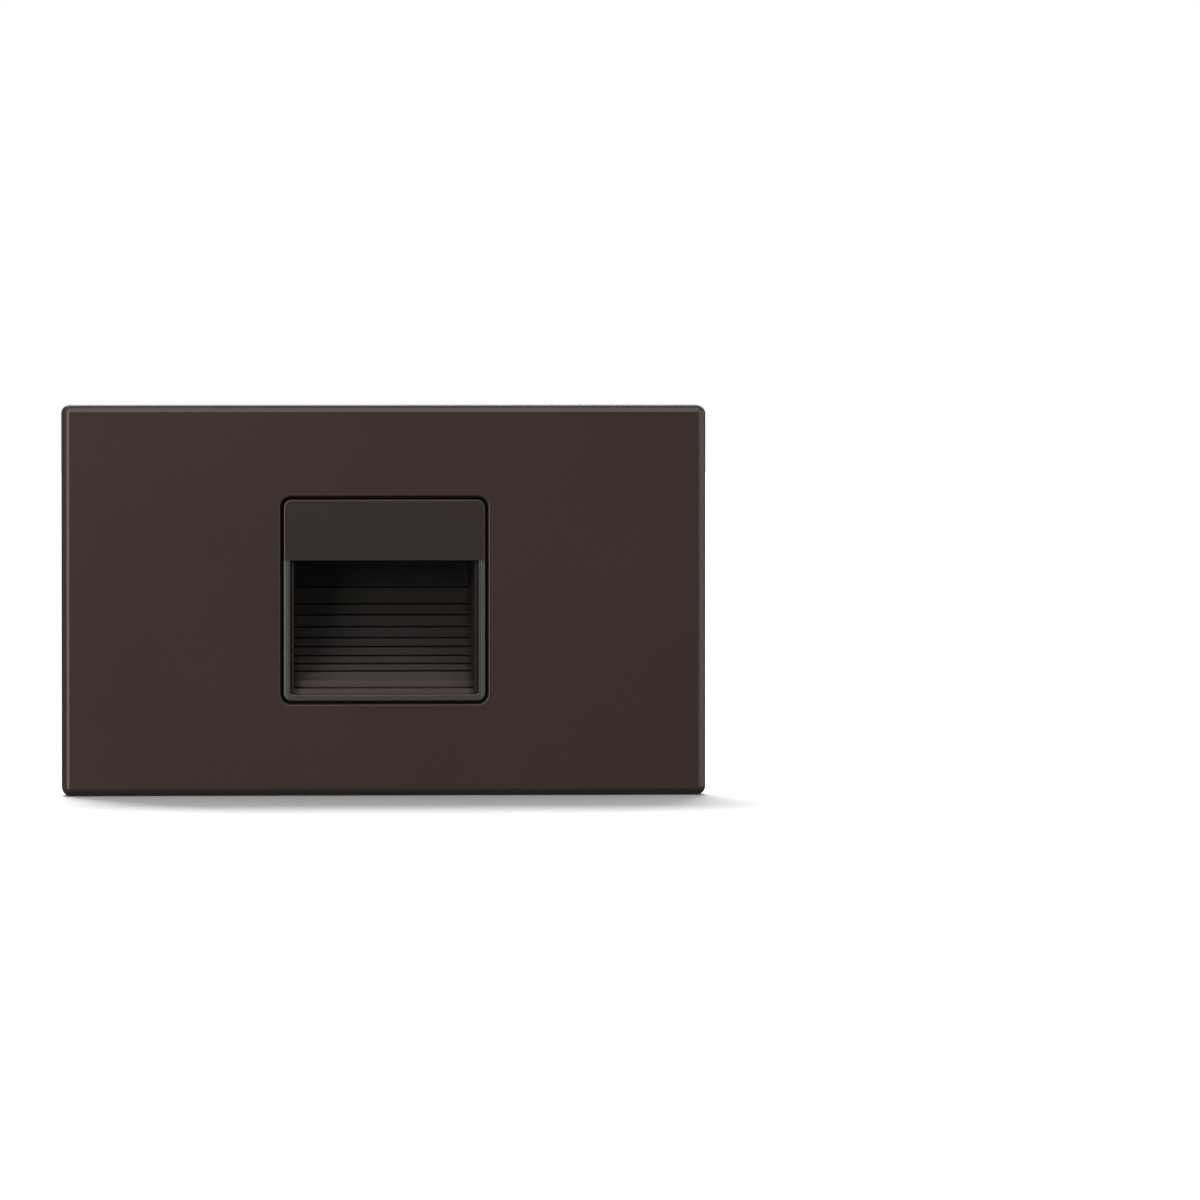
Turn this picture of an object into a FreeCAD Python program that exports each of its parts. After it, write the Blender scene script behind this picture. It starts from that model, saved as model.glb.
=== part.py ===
import FreeCAD, Part
import math
import os

# Recessed step light behind a rectangular faceplate, for a one-gang wall box that lies on its side.
# Frame: +X to the right, +Y into the wall, +Z up. The origin lies on the wall plane, at the middle
# of the faceplate, so everything on the room side of the wall has a negative Y.
# All lengths are in millimetres.

# Faceplate, and the studs that hold it
plate_width = 117.0
plate_height = 71.0
plate_depth = 7.0  # from the wall plane to the face
plate_wall = 2.0
plate_corner_radius = 1.6
plate_inner_corner_radius = 0.8
plate_rim_radius = 1.3
opening_gap = 0.6  # all round the lamp head
opening_corner_radius = 2.0
opening_edge_radius = 0.25
stud_radius = 1.6
stud_tip_chamfer = 0.4
stud_root_depth = 1.5  # how far a stud is sunk into its boss
stud_reach = 2.4  # behind the wall plane
stud_spacing_z = 34.0
boss_wall = 1.4  # around a stud
boss_gap = 1.0  # between a boss and the bush behind it
foam_width = 3.0
foam_gap = 0.1

# Bushes that grip the studs
bush_clearance = 0.05
bush_wall = 0.85
bush_hole_clearance = 0.05
bush_flange_overlap = 1.0
bush_flange_thickness = 0.8
bush_barb_overlap = 0.5
bush_barb_length = 1.5
bush_length = 3.0  # behind the yoke

# Steel yoke across the wall box
box_screw_spacing = 83.3
yoke_thickness = 1.2
yoke_tongue_height = 28.0
yoke_corner_radius = 2.0
yoke_edge_gap = 1.0  # between the yoke's ends and the foam
yoke_head_gap = 0.5  # around the lamp head
yoke_border_x = 5.0  # from the bushes' centres to the edge
yoke_border_z = 3.0  # from the chamber's top to the edge
yoke_slot_height = 4.3
yoke_slot_length = 7.4

# Screws: radius of the thread, radius and height of the head
box_screw_radius = 1.75
box_screw_length = 19.0
box_screw_head_radius = 3.4
box_screw_head_height = 2.2
box_screw_neck_radius = 1.45  # plain shank between the head and the wall plane
case_screw_radius = 1.25
case_screw_head_radius = 2.25
case_screw_head_height = 1.7
board_screw_radius = 1.0
board_screw_head_radius = 1.9
board_screw_head_height = 1.5
ground_screw_radius = 2.0
ground_screw_length = 4.2
ground_screw_head_width = 7.0  # across the flats of its hexagon
ground_screw_head_height = 3.2
yoke_screw_length = 7.0
case_screw_length = 7.0
cover_screw_length = 10.0
driver_screw_length = 4.2
led_screw_length = 4.6
screw_clearance = 0.05
screw_hole_spare = 1.2  # a blind hole is this much deeper than its screw
screw_tip_chamfer = 0.3
drive_slot_width = 0.6
drive_slot_depth = 0.8

# Lamp head, the square nose that comes through the faceplate
head_size = 36.6
head_corner_radius = 1.4
head_wall = 1.2
head_edge_radius = 0.3
aperture_corner_radius = 0.6
aperture_edge_radius = 0.2
hood_height = 11.1
hood_thickness = 1.6
hood_lip = 1.8  # how far the hood hangs below the shelf

# Chamber behind the yoke, cast in one piece with the lamp head
chamber_wall = 1.8
chamber_corner_radius = 3.0
chamber_inner_corner_radius = 1.2
chamber_rise = 3.7  # above and below the lamp head
chamber_boss_radius = 2.6
chamber_boss_border = 0.6
chamber_screw_spacing_z = 30.0
chamber_stud_gap = 0.8  # between the chamber and the bushes
fin_count = 9
fin_spacing = 4.6
fin_thickness = 1.2
fin_height = 2.2
gasket_gap = 0.1
gasket_width = 2.0
gasket_screw_gap = 0.35  # between the gasket and the heads of the yoke screws

# Shelf over the recess, with the window that the light falls through
shelf_thickness = 1.4
window_width = 26.0
window_depth = 11.5
window_setback = 3.9  # from the back of the hood
lens_thickness = 1.5
lens_overlap = 1.7
lens_seal_thickness = 0.6

# LED board under the chamber's roof
led_pad_drop = 2.0
led_pad_border = 1.0
thermal_pad_thickness = 0.5
led_board_width = 32.0
led_board_depth = 10.0
led_board_gap = 0.3  # behind the chamber's front wall
led_board_thickness = 1.6
led_screw_border = 2.6
led_count = 6
led_spacing = 3.8
led_width = 2.8
led_length = 3.5
led_height = 0.7
led_row_setback = 4.4  # from the board's front edge
lead_radius = 0.65
lead_bend_radius = 2.2
lead_spacing = 3.0
lead_pad_border = 1.1  # from the board's back edge
bushing_radius = 3.0
bushing_flange_overlap = 0.7
bushing_flange_thickness = 0.9

# Stepped insert that breaks up the light
recess_depth = 19.5  # from the face to the back wall
baffle_gap = 0.1
baffle_setback = 0.8  # behind the face
baffle_skin = 1.8
baffle_corner_radius = 0.7
baffle_back_gap = 0.7
baffle_flange_overlap = 2.0
baffle_flange_thickness = 1.6
# Heights of the risers from the lowest: they are scaled together to fill the height of the steps.
riser_heights = (0.92, 1.43, 1.42, 1.28, 1.41, 1.59, 1.6, 1.96, 2.15, 1.98, 3.06, 3.8)
plain_riser = 2  # number of the riser that has no groove at its foot
back_wall_height = 3.3
groove_height = 0.3
groove_depth = 0.6
curve_start_angle = 20.0  # degrees, where the steps begin on their ellipse
rear_point_count = 7  # points that the smooth rear of the steps runs through
cheek_front_wall = 0.6
cheek_back_wall = 1.0
post_width = 2.4  # posts in the recess's upper back corners
post_depth = 3.0
post_height = 6.0

# Driver case behind the chamber, with its board
seal_thickness = 0.8
case_width = 66.0
case_depth = 20.0
case_wall = 1.6
case_corner_radius = 3.0
case_inner_corner_radius = 1.4
case_boss_inset = 1.5  # from the case's inner walls to the boss's centre
cover_thickness = 1.8
standoff_radius = 2.4
standoff_height = 3.2
standoff_border = 3.0  # from the board's end
board_gap_x = 0.8
board_gap_z = 0.6
board_thickness = 1.6
board_edge_margin = 1.0
part_gap = 1.4

# Inlet for the supply cable
inlet_radius = 3.25
inlet_neck_wall = 1.45
inlet_outer_flange_radius = 6.5
inlet_outer_flange_thickness = 1.6
inlet_inner_flange_radius = 6.0
inlet_inner_flange_thickness = 1.4
inlet_clearance = 0.1

# Parts on the driver board: width along X, depth along Z, height along Y
core_width = 16.0
core_depth = 5.0
core_height = 12.0
core_yoke = 2.4
core_leg_radius = 2.4
bobbin_wall = 0.5
winding_thickness = 1.9
bulk_capacitor_radius = 5.0
bulk_capacitor_height = 12.5
output_capacitor_radius = 4.0
output_capacitor_height = 11.5
capacitor_edge_radius = 0.8
film_capacitor_width = 13.0
film_capacitor_depth = 6.0
film_capacitor_height = 11.0
inductor_radius = 4.0
inductor_height = 9.0
inductor_flange = 1.2
inductor_winding_inset = 0.5
varistor_radius = 4.5
varistor_thickness = 3.5
varistor_leg_length = 1.6
leg_radius = 0.35
fuse_radius = 2.2
fuse_height = 8.0
bridge_width = 6.4
bridge_depth = 4.8
bridge_height = 2.4
bridge_legs = 2  # on each side
terminal_width = 11.0
terminal_depth = 8.0
terminal_height = 9.0
terminal_ways = 3
terminal_entry_size = 2.4
terminal_entry_depth = 5.0
terminal_screw_radius = 1.1
chip_width = 5.0
chip_depth = 4.0
chip_height = 1.6
chip_distance = 12.0  # from the board's middle
chip_legs = 4  # on each side
chip_leg_width = 0.4
chip_leg_length = 0.9
chip_leg_height = 0.5

# Planes across the Y axis, from the face to the back of the light
face_y = -plate_depth
plate_inner_y = face_y + plate_wall
yoke_front_y = -yoke_thickness
boss_back_y = yoke_front_y - bush_flange_thickness - boss_gap
hood_back_y = face_y + hood_thickness
recess_back_y = face_y + recess_depth
chamber_back_y = recess_back_y + baffle_skin + baffle_back_gap
case_front_y = chamber_back_y + seal_thickness
case_floor_y = case_front_y + case_wall
board_front_y = case_floor_y + standoff_height
board_back_y = board_front_y + board_thickness
case_back_y = case_front_y + case_depth
cover_front_y = case_back_y + seal_thickness
cover_back_y = cover_front_y + cover_thickness

# Half sizes and places across the face
head_half = head_size / 2
bay_half = head_half - head_wall
hood_bottom_z = head_half - hood_height
shelf_bottom_z = hood_bottom_z + hood_lip
shelf_top_z = shelf_bottom_z + shelf_thickness
gasket_half = head_half + gasket_gap + gasket_width
boss_x = gasket_half + case_screw_head_radius + gasket_screw_gap
boss_z = chamber_screw_spacing_z / 2
chamber_half_x = boss_x + chamber_boss_radius + chamber_boss_border
chamber_half_z = head_half + chamber_rise
roof_z = chamber_half_z - chamber_wall
bush_bore_radius = stud_radius + bush_clearance
bush_radius = bush_bore_radius + bush_wall
bush_barb_radius = bush_radius + bush_barb_overlap
stud_x = chamber_half_x + chamber_stud_gap + bush_barb_radius
stud_z = stud_spacing_z / 2
case_inner_half_x = case_width / 2 - case_wall
case_inner_half_z = chamber_half_z - case_wall
cover_screw_x = case_inner_half_x - case_boss_inset
cover_screw_z = case_inner_half_z - case_boss_inset
board_half_x = cover_screw_x - chamber_boss_radius - board_gap_x
board_half_z = case_inner_half_z - board_gap_z
standoff_x = board_half_x - standoff_border

# LED board, lens and leads
led_pad_z = roof_z - led_pad_drop
led_board_top_z = led_pad_z - thermal_pad_thickness
led_board_bottom_z = led_board_top_z - led_board_thickness
led_board_front_y = chamber_wall + led_board_gap
led_board_back_y = led_board_front_y + led_board_depth
led_screw_x = led_board_width / 2 - led_screw_border
led_screw_y = (led_board_front_y + led_board_back_y) / 2
led_row_y = led_board_front_y + led_row_setback
window_front_y = hood_back_y + window_setback
window_back_y = window_front_y + window_depth
lens_bottom_z = shelf_top_z + lens_seal_thickness
lead_pad_y = led_board_back_y - lead_pad_border
lead_z = led_board_bottom_z - lead_bend_radius

TINY = 0.0001
ALONG_X = FreeCAD.Vector(1, 0, 0)
ALONG_Y = FreeCAD.Vector(0, 1, 0)
ALONG_Z = FreeCAD.Vector(0, 0, 1)
ORIGIN = FreeCAD.Vector(0, 0, 0)


def block(x0, x1, y0, y1, z0, z1):
    return Part.makeBox(x1 - x0, y1 - y0, z1 - z0, FreeCAD.Vector(x0, y0, z0))


def rod(radius, y0, y1, x=0.0, z=0.0):
    return Part.makeCylinder(radius, y1 - y0, FreeCAD.Vector(x, y0, z), ALONG_Y)


def edges_along_y(shape):
    return [
        edge
        for edge in shape.Edges
        if edge.BoundBox.XLength < TINY and edge.BoundBox.ZLength < TINY
    ]


def edges_at_y(shape, y):
    return [
        edge
        for edge in shape.Edges
        if abs(edge.BoundBox.YMin - y) < TINY and abs(edge.BoundBox.YMax - y) < TINY
    ]


def rounded_prism(half_x, half_z, y0, y1, radius):
    prism = block(-half_x, half_x, y0, y1, -half_z, half_z)
    return prism.makeFillet(radius, edges_along_y(prism))


def corners(x, z):
    return [(side * x, level * z) for side in (-1, 1) for level in (-1, 1)]


def joined(shapes):
    return shapes[0].multiFuse(shapes[1:]).removeSplitter()


def screw(radius, length, head_radius, head_height):
    # Pan head screw along Y: the head's underside is on the plane y = 0, and the thread behind it.
    head = rod(head_radius, -head_height, 0)
    head = head.makeFillet(head_height / 2, edges_at_y(head, -head_height))
    thread = rod(radius, 0, length)
    thread = thread.makeChamfer(screw_tip_chamfer, edges_at_y(thread, length))
    slot_half = drive_slot_width / 2
    slot_bottom_y = drive_slot_depth - head_height
    level_slot = block(-radius, radius, -head_height, slot_bottom_y, -slot_half, slot_half)
    upright_slot = level_slot.rotated(ORIGIN, ALONG_Y, 90)
    return joined([head, thread]).cut([level_slot, upright_slot])


def turned_round(shape):
    return shape.rotated(ORIGIN, ALONG_Z, 180)


def copies(shape, places, y):
    # One separate solid at each (x, z) place, moved along Y.
    return Part.makeCompound([shape.translated(FreeCAD.Vector(x, y, z)) for x, z in places])


def screw_holes(radius, y0, y1, places):
    return [rod(radius + screw_clearance, y0, y1, x, z) for x, z in places]


boss_places = corners(boss_x, boss_z)
stud_places = corners(stud_x, stud_z)
cover_screw_places = corners(cover_screw_x, cover_screw_z)
box_screw_places = [(-box_screw_spacing / 2, 0), (box_screw_spacing / 2, 0)]
driver_screw_places = [(-standoff_x, 0), (standoff_x, 0)]
ground_screw_place = (-stud_x - bush_flange_overlap, 0)


# Faceplate and what is fixed to its back


def make_faceplate():
    shell = rounded_prism(plate_width / 2, plate_height / 2, face_y, 0, plate_corner_radius)
    shell = shell.makeFillet(plate_rim_radius, edges_at_y(shell, face_y))
    inner_half_x = plate_width / 2 - plate_wall
    inner_half_z = plate_height / 2 - plate_wall
    cavity = rounded_prism(inner_half_x, inner_half_z, plate_inner_y, 0, plate_inner_corner_radius)
    opening_half = head_half + opening_gap
    opening = rounded_prism(opening_half, opening_half, face_y, 0, opening_corner_radius)
    shell = shell.cut([cavity, opening])
    rim = [
        edge
        for edge in edges_at_y(shell, face_y)
        if max(abs(edge.BoundBox.XMin), abs(edge.BoundBox.XMax)) < opening_half + TINY
    ]
    shell = shell.makeFillet(opening_edge_radius, rim)
    boss_front_y = face_y + plate_wall / 2
    bosses = [rod(stud_radius + boss_wall, boss_front_y, boss_back_y, x, z) for x, z in stud_places]
    stud_holes = [rod(stud_radius, boss_back_y - stud_root_depth, boss_back_y, x, z) for x, z in stud_places]
    return joined([shell] + bosses).cut(stud_holes)


def make_plate_studs():
    root_y = boss_back_y - stud_root_depth
    stud = rod(stud_radius, root_y, stud_reach)
    stud = stud.makeChamfer(stud_tip_chamfer, edges_at_y(stud, stud_reach))
    return copies(stud, stud_places, 0)


def make_foam_gasket():
    outer_half_x = plate_width / 2 - plate_wall - foam_gap
    outer_half_z = plate_height / 2 - plate_wall - foam_gap
    outer = rounded_prism(outer_half_x, outer_half_z, plate_inner_y, 0, plate_inner_corner_radius)
    inner_half_x = outer_half_x - foam_width
    inner_half_z = outer_half_z - foam_width
    inner = rounded_prism(inner_half_x, inner_half_z, plate_inner_y, 0, plate_inner_corner_radius)
    return outer.cut(inner)


# Yoke, its bushes and screws


def make_mounting_yoke():
    tongue_half = plate_width / 2 - plate_wall - foam_gap - foam_width - yoke_edge_gap
    middle_half_x = stud_x + yoke_border_x
    middle_half_z = chamber_half_z + yoke_border_z
    tongue = rounded_prism(tongue_half, yoke_tongue_height / 2, yoke_front_y, 0, yoke_corner_radius)
    middle = rounded_prism(middle_half_x, middle_half_z, yoke_front_y, 0, yoke_corner_radius)
    window_half = head_half + yoke_head_gap
    holes = [rounded_prism(window_half, window_half, yoke_front_y, 0, head_corner_radius)]
    slot_end = (yoke_slot_length - yoke_slot_height) / 2
    for x, z in box_screw_places:
        slot_half = yoke_slot_height / 2
        holes.append(block(x - slot_end, x + slot_end, yoke_front_y, 0, z - slot_half, z + slot_half))
        holes.append(rod(slot_half, yoke_front_y, 0, x - slot_end, z))
        holes.append(rod(slot_half, yoke_front_y, 0, x + slot_end, z))
    for x, z in stud_places:
        holes.append(rod(bush_radius + bush_hole_clearance, yoke_front_y, 0, x, z))
    holes += screw_holes(case_screw_radius, yoke_front_y, 0, boss_places)
    holes += screw_holes(ground_screw_radius, yoke_front_y, 0, [ground_screw_place])
    return joined([tongue, middle]).cut(holes)


def make_box_screws():
    # The shank is thinner where it passes through the yoke's slot, and threaded behind it.
    shape = screw(box_screw_radius, box_screw_length, box_screw_head_radius, box_screw_head_height)
    thread_there = rod(box_screw_radius, 0, yoke_thickness)
    neck = rod(box_screw_neck_radius, 0, yoke_thickness)
    return copies(shape.cut(thread_there.cut(neck)), box_screw_places, yoke_front_y)


def make_ground_screw():
    corner_radius = ground_screw_head_width / 2 / math.cos(math.radians(30))
    turns = [math.radians(60 * corner) for corner in range(7)]
    outline = Part.makePolygon(
        [FreeCAD.Vector(corner_radius * math.cos(turn), 0, corner_radius * math.sin(turn)) for turn in turns]
    )
    head = Part.Face(outline).extrude(FreeCAD.Vector(0, ground_screw_head_height, 0))
    thread = rod(ground_screw_radius, -ground_screw_length, 0)
    thread = thread.makeChamfer(screw_tip_chamfer, edges_at_y(thread, -ground_screw_length))
    slot_half = drive_slot_width / 2
    slot_y = ground_screw_head_height - drive_slot_depth
    slot = block(-corner_radius, corner_radius, slot_y, ground_screw_head_height, -slot_half, slot_half)
    return copies(joined([head, thread]).cut(slot), [ground_screw_place], 0)


def make_snap_bushes():
    flange_front_y = yoke_front_y - bush_flange_thickness
    flange = rod(bush_radius + bush_flange_overlap, flange_front_y, yoke_front_y)
    sleeve = rod(bush_radius, yoke_front_y, bush_length)
    barb_at = FreeCAD.Vector(0, bush_hole_clearance, 0)
    barb = Part.makeCone(bush_barb_radius, bush_radius, bush_barb_length, barb_at, ALONG_Y)
    bore = rod(bush_bore_radius, flange_front_y, bush_length)
    return copies(joined([flange, sleeve, barb]).cut(bore), stud_places, 0)


def make_yoke_screws():
    shape = screw(case_screw_radius, yoke_screw_length, case_screw_head_radius, case_screw_head_height)
    return copies(shape, boss_places, yoke_front_y)


def make_head_gasket():
    front_y = plate_inner_y + gasket_gap
    inner_half = head_half + gasket_gap
    outer = rounded_prism(gasket_half, gasket_half, front_y, yoke_front_y, opening_corner_radius)
    inner = rounded_prism(inner_half, inner_half, front_y, yoke_front_y, head_corner_radius)
    return outer.cut(inner)


# Cast housing: lamp head, hood, shelf and chamber


def make_front_of_head():
    nose = rounded_prism(head_half, head_half, face_y, hood_back_y, head_corner_radius)
    nose = nose.makeFillet(head_edge_radius, edges_at_y(nose, face_y))
    aperture = rounded_prism(bay_half, bay_half, face_y, hood_back_y, aperture_corner_radius)
    below_hood = block(-head_half, head_half, face_y, hood_back_y, -head_half, hood_bottom_z)
    nose = nose.cut(aperture.common(below_hood))
    rim = [
        edge
        for edge in edges_at_y(nose, face_y)
        if max(abs(edge.BoundBox.XMin), abs(edge.BoundBox.XMax)) < bay_half + TINY
        and edge.BoundBox.ZMax < hood_bottom_z + TINY
    ]
    return nose.makeFillet(aperture_edge_radius, rim)


def make_fins():
    first_x = -fin_spacing * (fin_count - 1) / 2
    fins = []
    for number in range(fin_count):
        x0 = first_x + number * fin_spacing - fin_thickness / 2
        x1 = x0 + fin_thickness
        fins.append(block(x0, x1, chamber_wall, chamber_back_y, roof_z, chamber_half_z + fin_height))
    return fins


def make_lamp_housing():
    head = rounded_prism(head_half, head_half, hood_back_y, chamber_wall, head_corner_radius)
    chamber = rounded_prism(chamber_half_x, chamber_half_z, 0, chamber_back_y, chamber_corner_radius)
    shelf = block(-chamber_half_x, chamber_half_x, face_y, chamber_back_y, shelf_bottom_z, shelf_top_z)
    bay = rounded_prism(bay_half, bay_half, hood_back_y, chamber_wall, aperture_corner_radius)
    inner_half_x = chamber_half_x - chamber_wall
    hollow = rounded_prism(inner_half_x, roof_z, chamber_wall, chamber_back_y, chamber_inner_corner_radius)
    body = joined([head, chamber] + make_fins()).cut([bay.cut(shelf), hollow.cut(shelf)])
    bosses = [rod(chamber_boss_radius, 0, chamber_back_y, x, z) for x, z in boss_places]
    pad_half = led_board_width / 2 + led_pad_border
    pad = block(-pad_half, pad_half, chamber_wall, led_board_back_y + led_board_gap, led_pad_z, roof_z)
    half_window = window_width / 2
    window = block(-half_window, half_window, window_front_y, window_back_y, shelf_bottom_z, shelf_top_z)
    front_depth = yoke_screw_length - yoke_thickness + screw_hole_spare
    back_depth = case_screw_length - case_wall - seal_thickness + screw_hole_spare
    holes = screw_holes(case_screw_radius, 0, front_depth, boss_places)
    holes += screw_holes(case_screw_radius, chamber_back_y - back_depth, chamber_back_y, boss_places)
    led_screw_reach = led_screw_length - led_board_thickness - thermal_pad_thickness
    holes += led_screw_holes(led_pad_z, led_pad_z + led_screw_reach + screw_hole_spare / 2)
    return joined([body, make_front_of_head(), pad] + bosses).cut([window] + holes)


# Lens, LED board and leads


def make_lens_seal():
    outer_half = window_width / 2 + lens_overlap
    outer = block(
        -outer_half,
        outer_half,
        window_front_y - lens_overlap,
        window_back_y + lens_overlap,
        shelf_top_z,
        lens_bottom_z,
    )
    inner_half = window_width / 2
    inner = block(-inner_half, inner_half, window_front_y, window_back_y, shelf_top_z, lens_bottom_z)
    return outer.cut(inner)


def make_diffuser_lens():
    half = window_width / 2 + lens_overlap
    front_y = window_front_y - lens_overlap
    back_y = window_back_y + lens_overlap
    return block(-half, half, front_y, back_y, lens_bottom_z, lens_bottom_z + lens_thickness)


def led_screw_holes(bottom_z, top_z):
    return [
        Part.makeCylinder(
            board_screw_radius + screw_clearance,
            top_z - bottom_z,
            FreeCAD.Vector(side * led_screw_x, led_screw_y, bottom_z),
        )
        for side in (-1, 1)
    ]


def make_led_slab(bottom_z, top_z):
    half = led_board_width / 2
    slab = block(-half, half, led_board_front_y, led_board_back_y, bottom_z, top_z)
    return slab.cut(led_screw_holes(bottom_z, top_z))


def make_led_emitters():
    first_x = -led_spacing * (led_count - 1) / 2
    top_z = led_board_bottom_z
    emitters = []
    for number in range(led_count):
        x0 = first_x + number * led_spacing - led_width / 2
        y0 = led_row_y - led_length / 2
        emitters.append(block(x0, x0 + led_width, y0, y0 + led_length, top_z - led_height, top_z))
    return Part.makeCompound(emitters)


def make_led_board_screws():
    shape = screw(board_screw_radius, led_screw_length, board_screw_head_radius, board_screw_head_height)
    upright = shape.rotated(ORIGIN, ALONG_X, 90)
    places = [FreeCAD.Vector(side * led_screw_x, led_screw_y, led_board_bottom_z) for side in (-1, 1)]
    return Part.makeCompound([upright.translated(place) for place in places])


def make_led_lead(x):
    # From the driver board straight forward through the bushing, then up in a quarter bend.
    bend_start = FreeCAD.Vector(x, lead_pad_y + lead_bend_radius, lead_z)
    start = FreeCAD.Vector(x, board_front_y, lead_z)
    end = FreeCAD.Vector(x, lead_pad_y, led_board_bottom_z)
    away = lead_bend_radius * (1 - math.cos(math.radians(45)))
    middle = FreeCAD.Vector(x, lead_pad_y + away, lead_z + away)
    run = Part.LineSegment(start, bend_start).toShape()
    bend = Part.Arc(bend_start, middle, end).toShape()
    section = Part.Wire(Part.Circle(start, ALONG_Y, lead_radius).toShape())
    lead = Part.Wire([run, bend]).makePipeShell([section], True, False)
    route_length = run.Length + bend.Length
    expected = math.pi * lead_radius**2 * route_length
    print(f"lead at x = {x}: length {route_length:.2f} mm, volume {lead.Volume:.3f} of {expected:.3f} mm3")
    return lead


def make_lead_bushing():
    flange_radius = bushing_radius + bushing_flange_overlap
    front_y = case_front_y - bushing_flange_thickness
    back_y = case_floor_y + bushing_flange_thickness
    neck = rod(bushing_radius, case_front_y, case_floor_y, 0, lead_z)
    front = rod(flange_radius, front_y, case_front_y, 0, lead_z)
    back = rod(flange_radius, case_floor_y, back_y, 0, lead_z)
    above_shelf = block(-flange_radius, flange_radius, front_y, case_front_y, shelf_top_z, roof_z)
    holes = [rod(lead_radius, front_y, back_y, side * lead_spacing / 2, lead_z) for side in (-1, 1)]
    return joined([neck, front.common(above_shelf), back]).cut(holes)


# Stepped insert


def riser_levels(bottom_z, top_z):
    # Z of the treads, from the foot of the lowest riser to the top of the last one.
    scale = (top_z - bottom_z) / sum(riser_heights)
    levels = [bottom_z]
    for height in riser_heights:
        levels.append(levels[-1] + height * scale)
    return levels


def steps_profile(bottom_z, top_z):
    # Closed outline in the YZ plane: steps on an ellipse in front, a smooth ellipse behind.
    front_y = face_y + baffle_setback
    start = math.radians(curve_start_angle)
    radius_y = (recess_back_y - front_y) / (1 - math.sin(start))
    radius_z = (top_z - bottom_z) / math.cos(start)
    centre_y = recess_back_y - radius_y
    levels = riser_levels(bottom_z, top_z)
    points = []
    for number, (level, next_level) in enumerate(zip(levels, levels[1:])):
        y = centre_y + radius_y * math.sqrt(1 - ((top_z - level) / radius_z) ** 2)
        if number not in (0, plain_riser):
            points.append((y + groove_depth, level))
            points.append((y + groove_depth, level + groove_height))
            points.append((y, level + groove_height))
        else:
            points.append((y, level))
        points.append((y, next_level))
    baffle_top_z = shelf_bottom_z - baffle_gap
    skin_y = radius_y + baffle_skin
    skin_z = radius_z + baffle_skin
    foot_turn = math.asin((top_z - bottom_z) / skin_z)
    rear_y = centre_y + skin_y
    points += [(recess_back_y, top_z), (recess_back_y, baffle_top_z)]
    points += [(rear_y, baffle_top_z), (rear_y, top_z)]
    corners_3d = [FreeCAD.Vector(0, y, z) for y, z in points]
    rear_points = [
        FreeCAD.Vector(0, centre_y + skin_y * math.cos(turn), top_z - skin_z * math.sin(turn))
        for turn in [foot_turn * number / (rear_point_count - 1) for number in range(rear_point_count)]
    ]
    rear_curve = Part.BSplineCurve()
    rear_curve.interpolate(rear_points)
    edges = Part.makePolygon(corners_3d).Edges
    edges.append(rear_curve.toShape())
    edges.append(Part.LineSegment(rear_points[-1], corners_3d[0]).toShape())
    return Part.Wire(Part.__sortEdges__(edges))


def make_cheek(side, half_x, bottom_z, top_z):
    front_y = face_y + baffle_setback
    back_y = case_front_y - baffle_gap
    inner_front = half_x - cheek_front_wall
    inner_back = half_x - cheek_back_wall
    outline = [
        (half_x, front_y),
        (half_x, back_y),
        (inner_back, back_y),
        (inner_back, recess_back_y),
        (inner_front, front_y),
        (half_x, front_y),
    ]
    wire = Part.makePolygon([FreeCAD.Vector(side * x, y, bottom_z) for x, y in outline])
    return Part.Face(wire).extrude(FreeCAD.Vector(0, 0, top_z - bottom_z))


def make_corner_post(side, half_x, top_z):
    # Its foot slopes at 45 degrees from the cheek, so that the insert leaves its mould.
    outer_x = half_x - cheek_back_wall
    inner_x = outer_x - post_width
    foot_z = top_z - post_height
    outline = [(outer_x, foot_z), (outer_x, top_z), (inner_x, top_z), (inner_x, foot_z + post_width)]
    outline.append(outline[0])
    front_y = recess_back_y - post_depth
    wire = Part.makePolygon([FreeCAD.Vector(side * x, front_y, z) for x, z in outline])
    return Part.Face(wire).extrude(FreeCAD.Vector(0, post_depth, 0))


def make_stepped_baffle():
    half_x = bay_half - baffle_gap
    bottom_z = -half_x
    top_z = shelf_bottom_z - baffle_gap
    profile = Part.Face(steps_profile(bottom_z, top_z - back_wall_height))
    steps = profile.extrude(FreeCAD.Vector(2 * half_x, 0, 0)).translated(FreeCAD.Vector(-half_x, 0, 0))
    cheeks = [make_cheek(side, half_x, bottom_z, top_z) for side in (-1, 1)]
    posts = [make_corner_post(side, half_x, top_z) for side in (-1, 1)]
    behind_hood_y = hood_back_y + baffle_gap
    room_for_hood = block(-half_x, half_x, face_y, behind_hood_y, hood_bottom_z - baffle_gap, top_z)
    insert = joined([steps] + cheeks + posts).cut(room_for_hood)
    envelope = rounded_prism(half_x, half_x, face_y, case_front_y, baffle_corner_radius)
    flange_half = half_x + baffle_flange_overlap
    flange_back_y = chamber_wall + baffle_flange_thickness
    flange = rounded_prism(flange_half, flange_half, chamber_wall, flange_back_y, baffle_corner_radius)
    below_shelf = block(-flange_half, flange_half, chamber_wall, flange_back_y, -flange_half, top_z)
    middle = rounded_prism(half_x, half_x, chamber_wall, flange_back_y, baffle_corner_radius)
    return joined([insert.common(envelope), flange.common(below_shelf).cut(middle)])


# Driver case, its cover and seals


def make_case_seal():
    y0 = chamber_back_y
    y1 = case_front_y
    outer = rounded_prism(chamber_half_x, chamber_half_z, y0, y1, chamber_corner_radius)
    inner_half_x = chamber_half_x - chamber_wall
    inner = rounded_prism(inner_half_x, roof_z, y0, y1, chamber_inner_corner_radius)
    pads = [rod(chamber_boss_radius, y0, y1, x, z) for x, z in boss_places]
    return joined([outer.cut(inner)] + pads).cut(screw_holes(case_screw_radius, y0, y1, boss_places))


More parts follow.
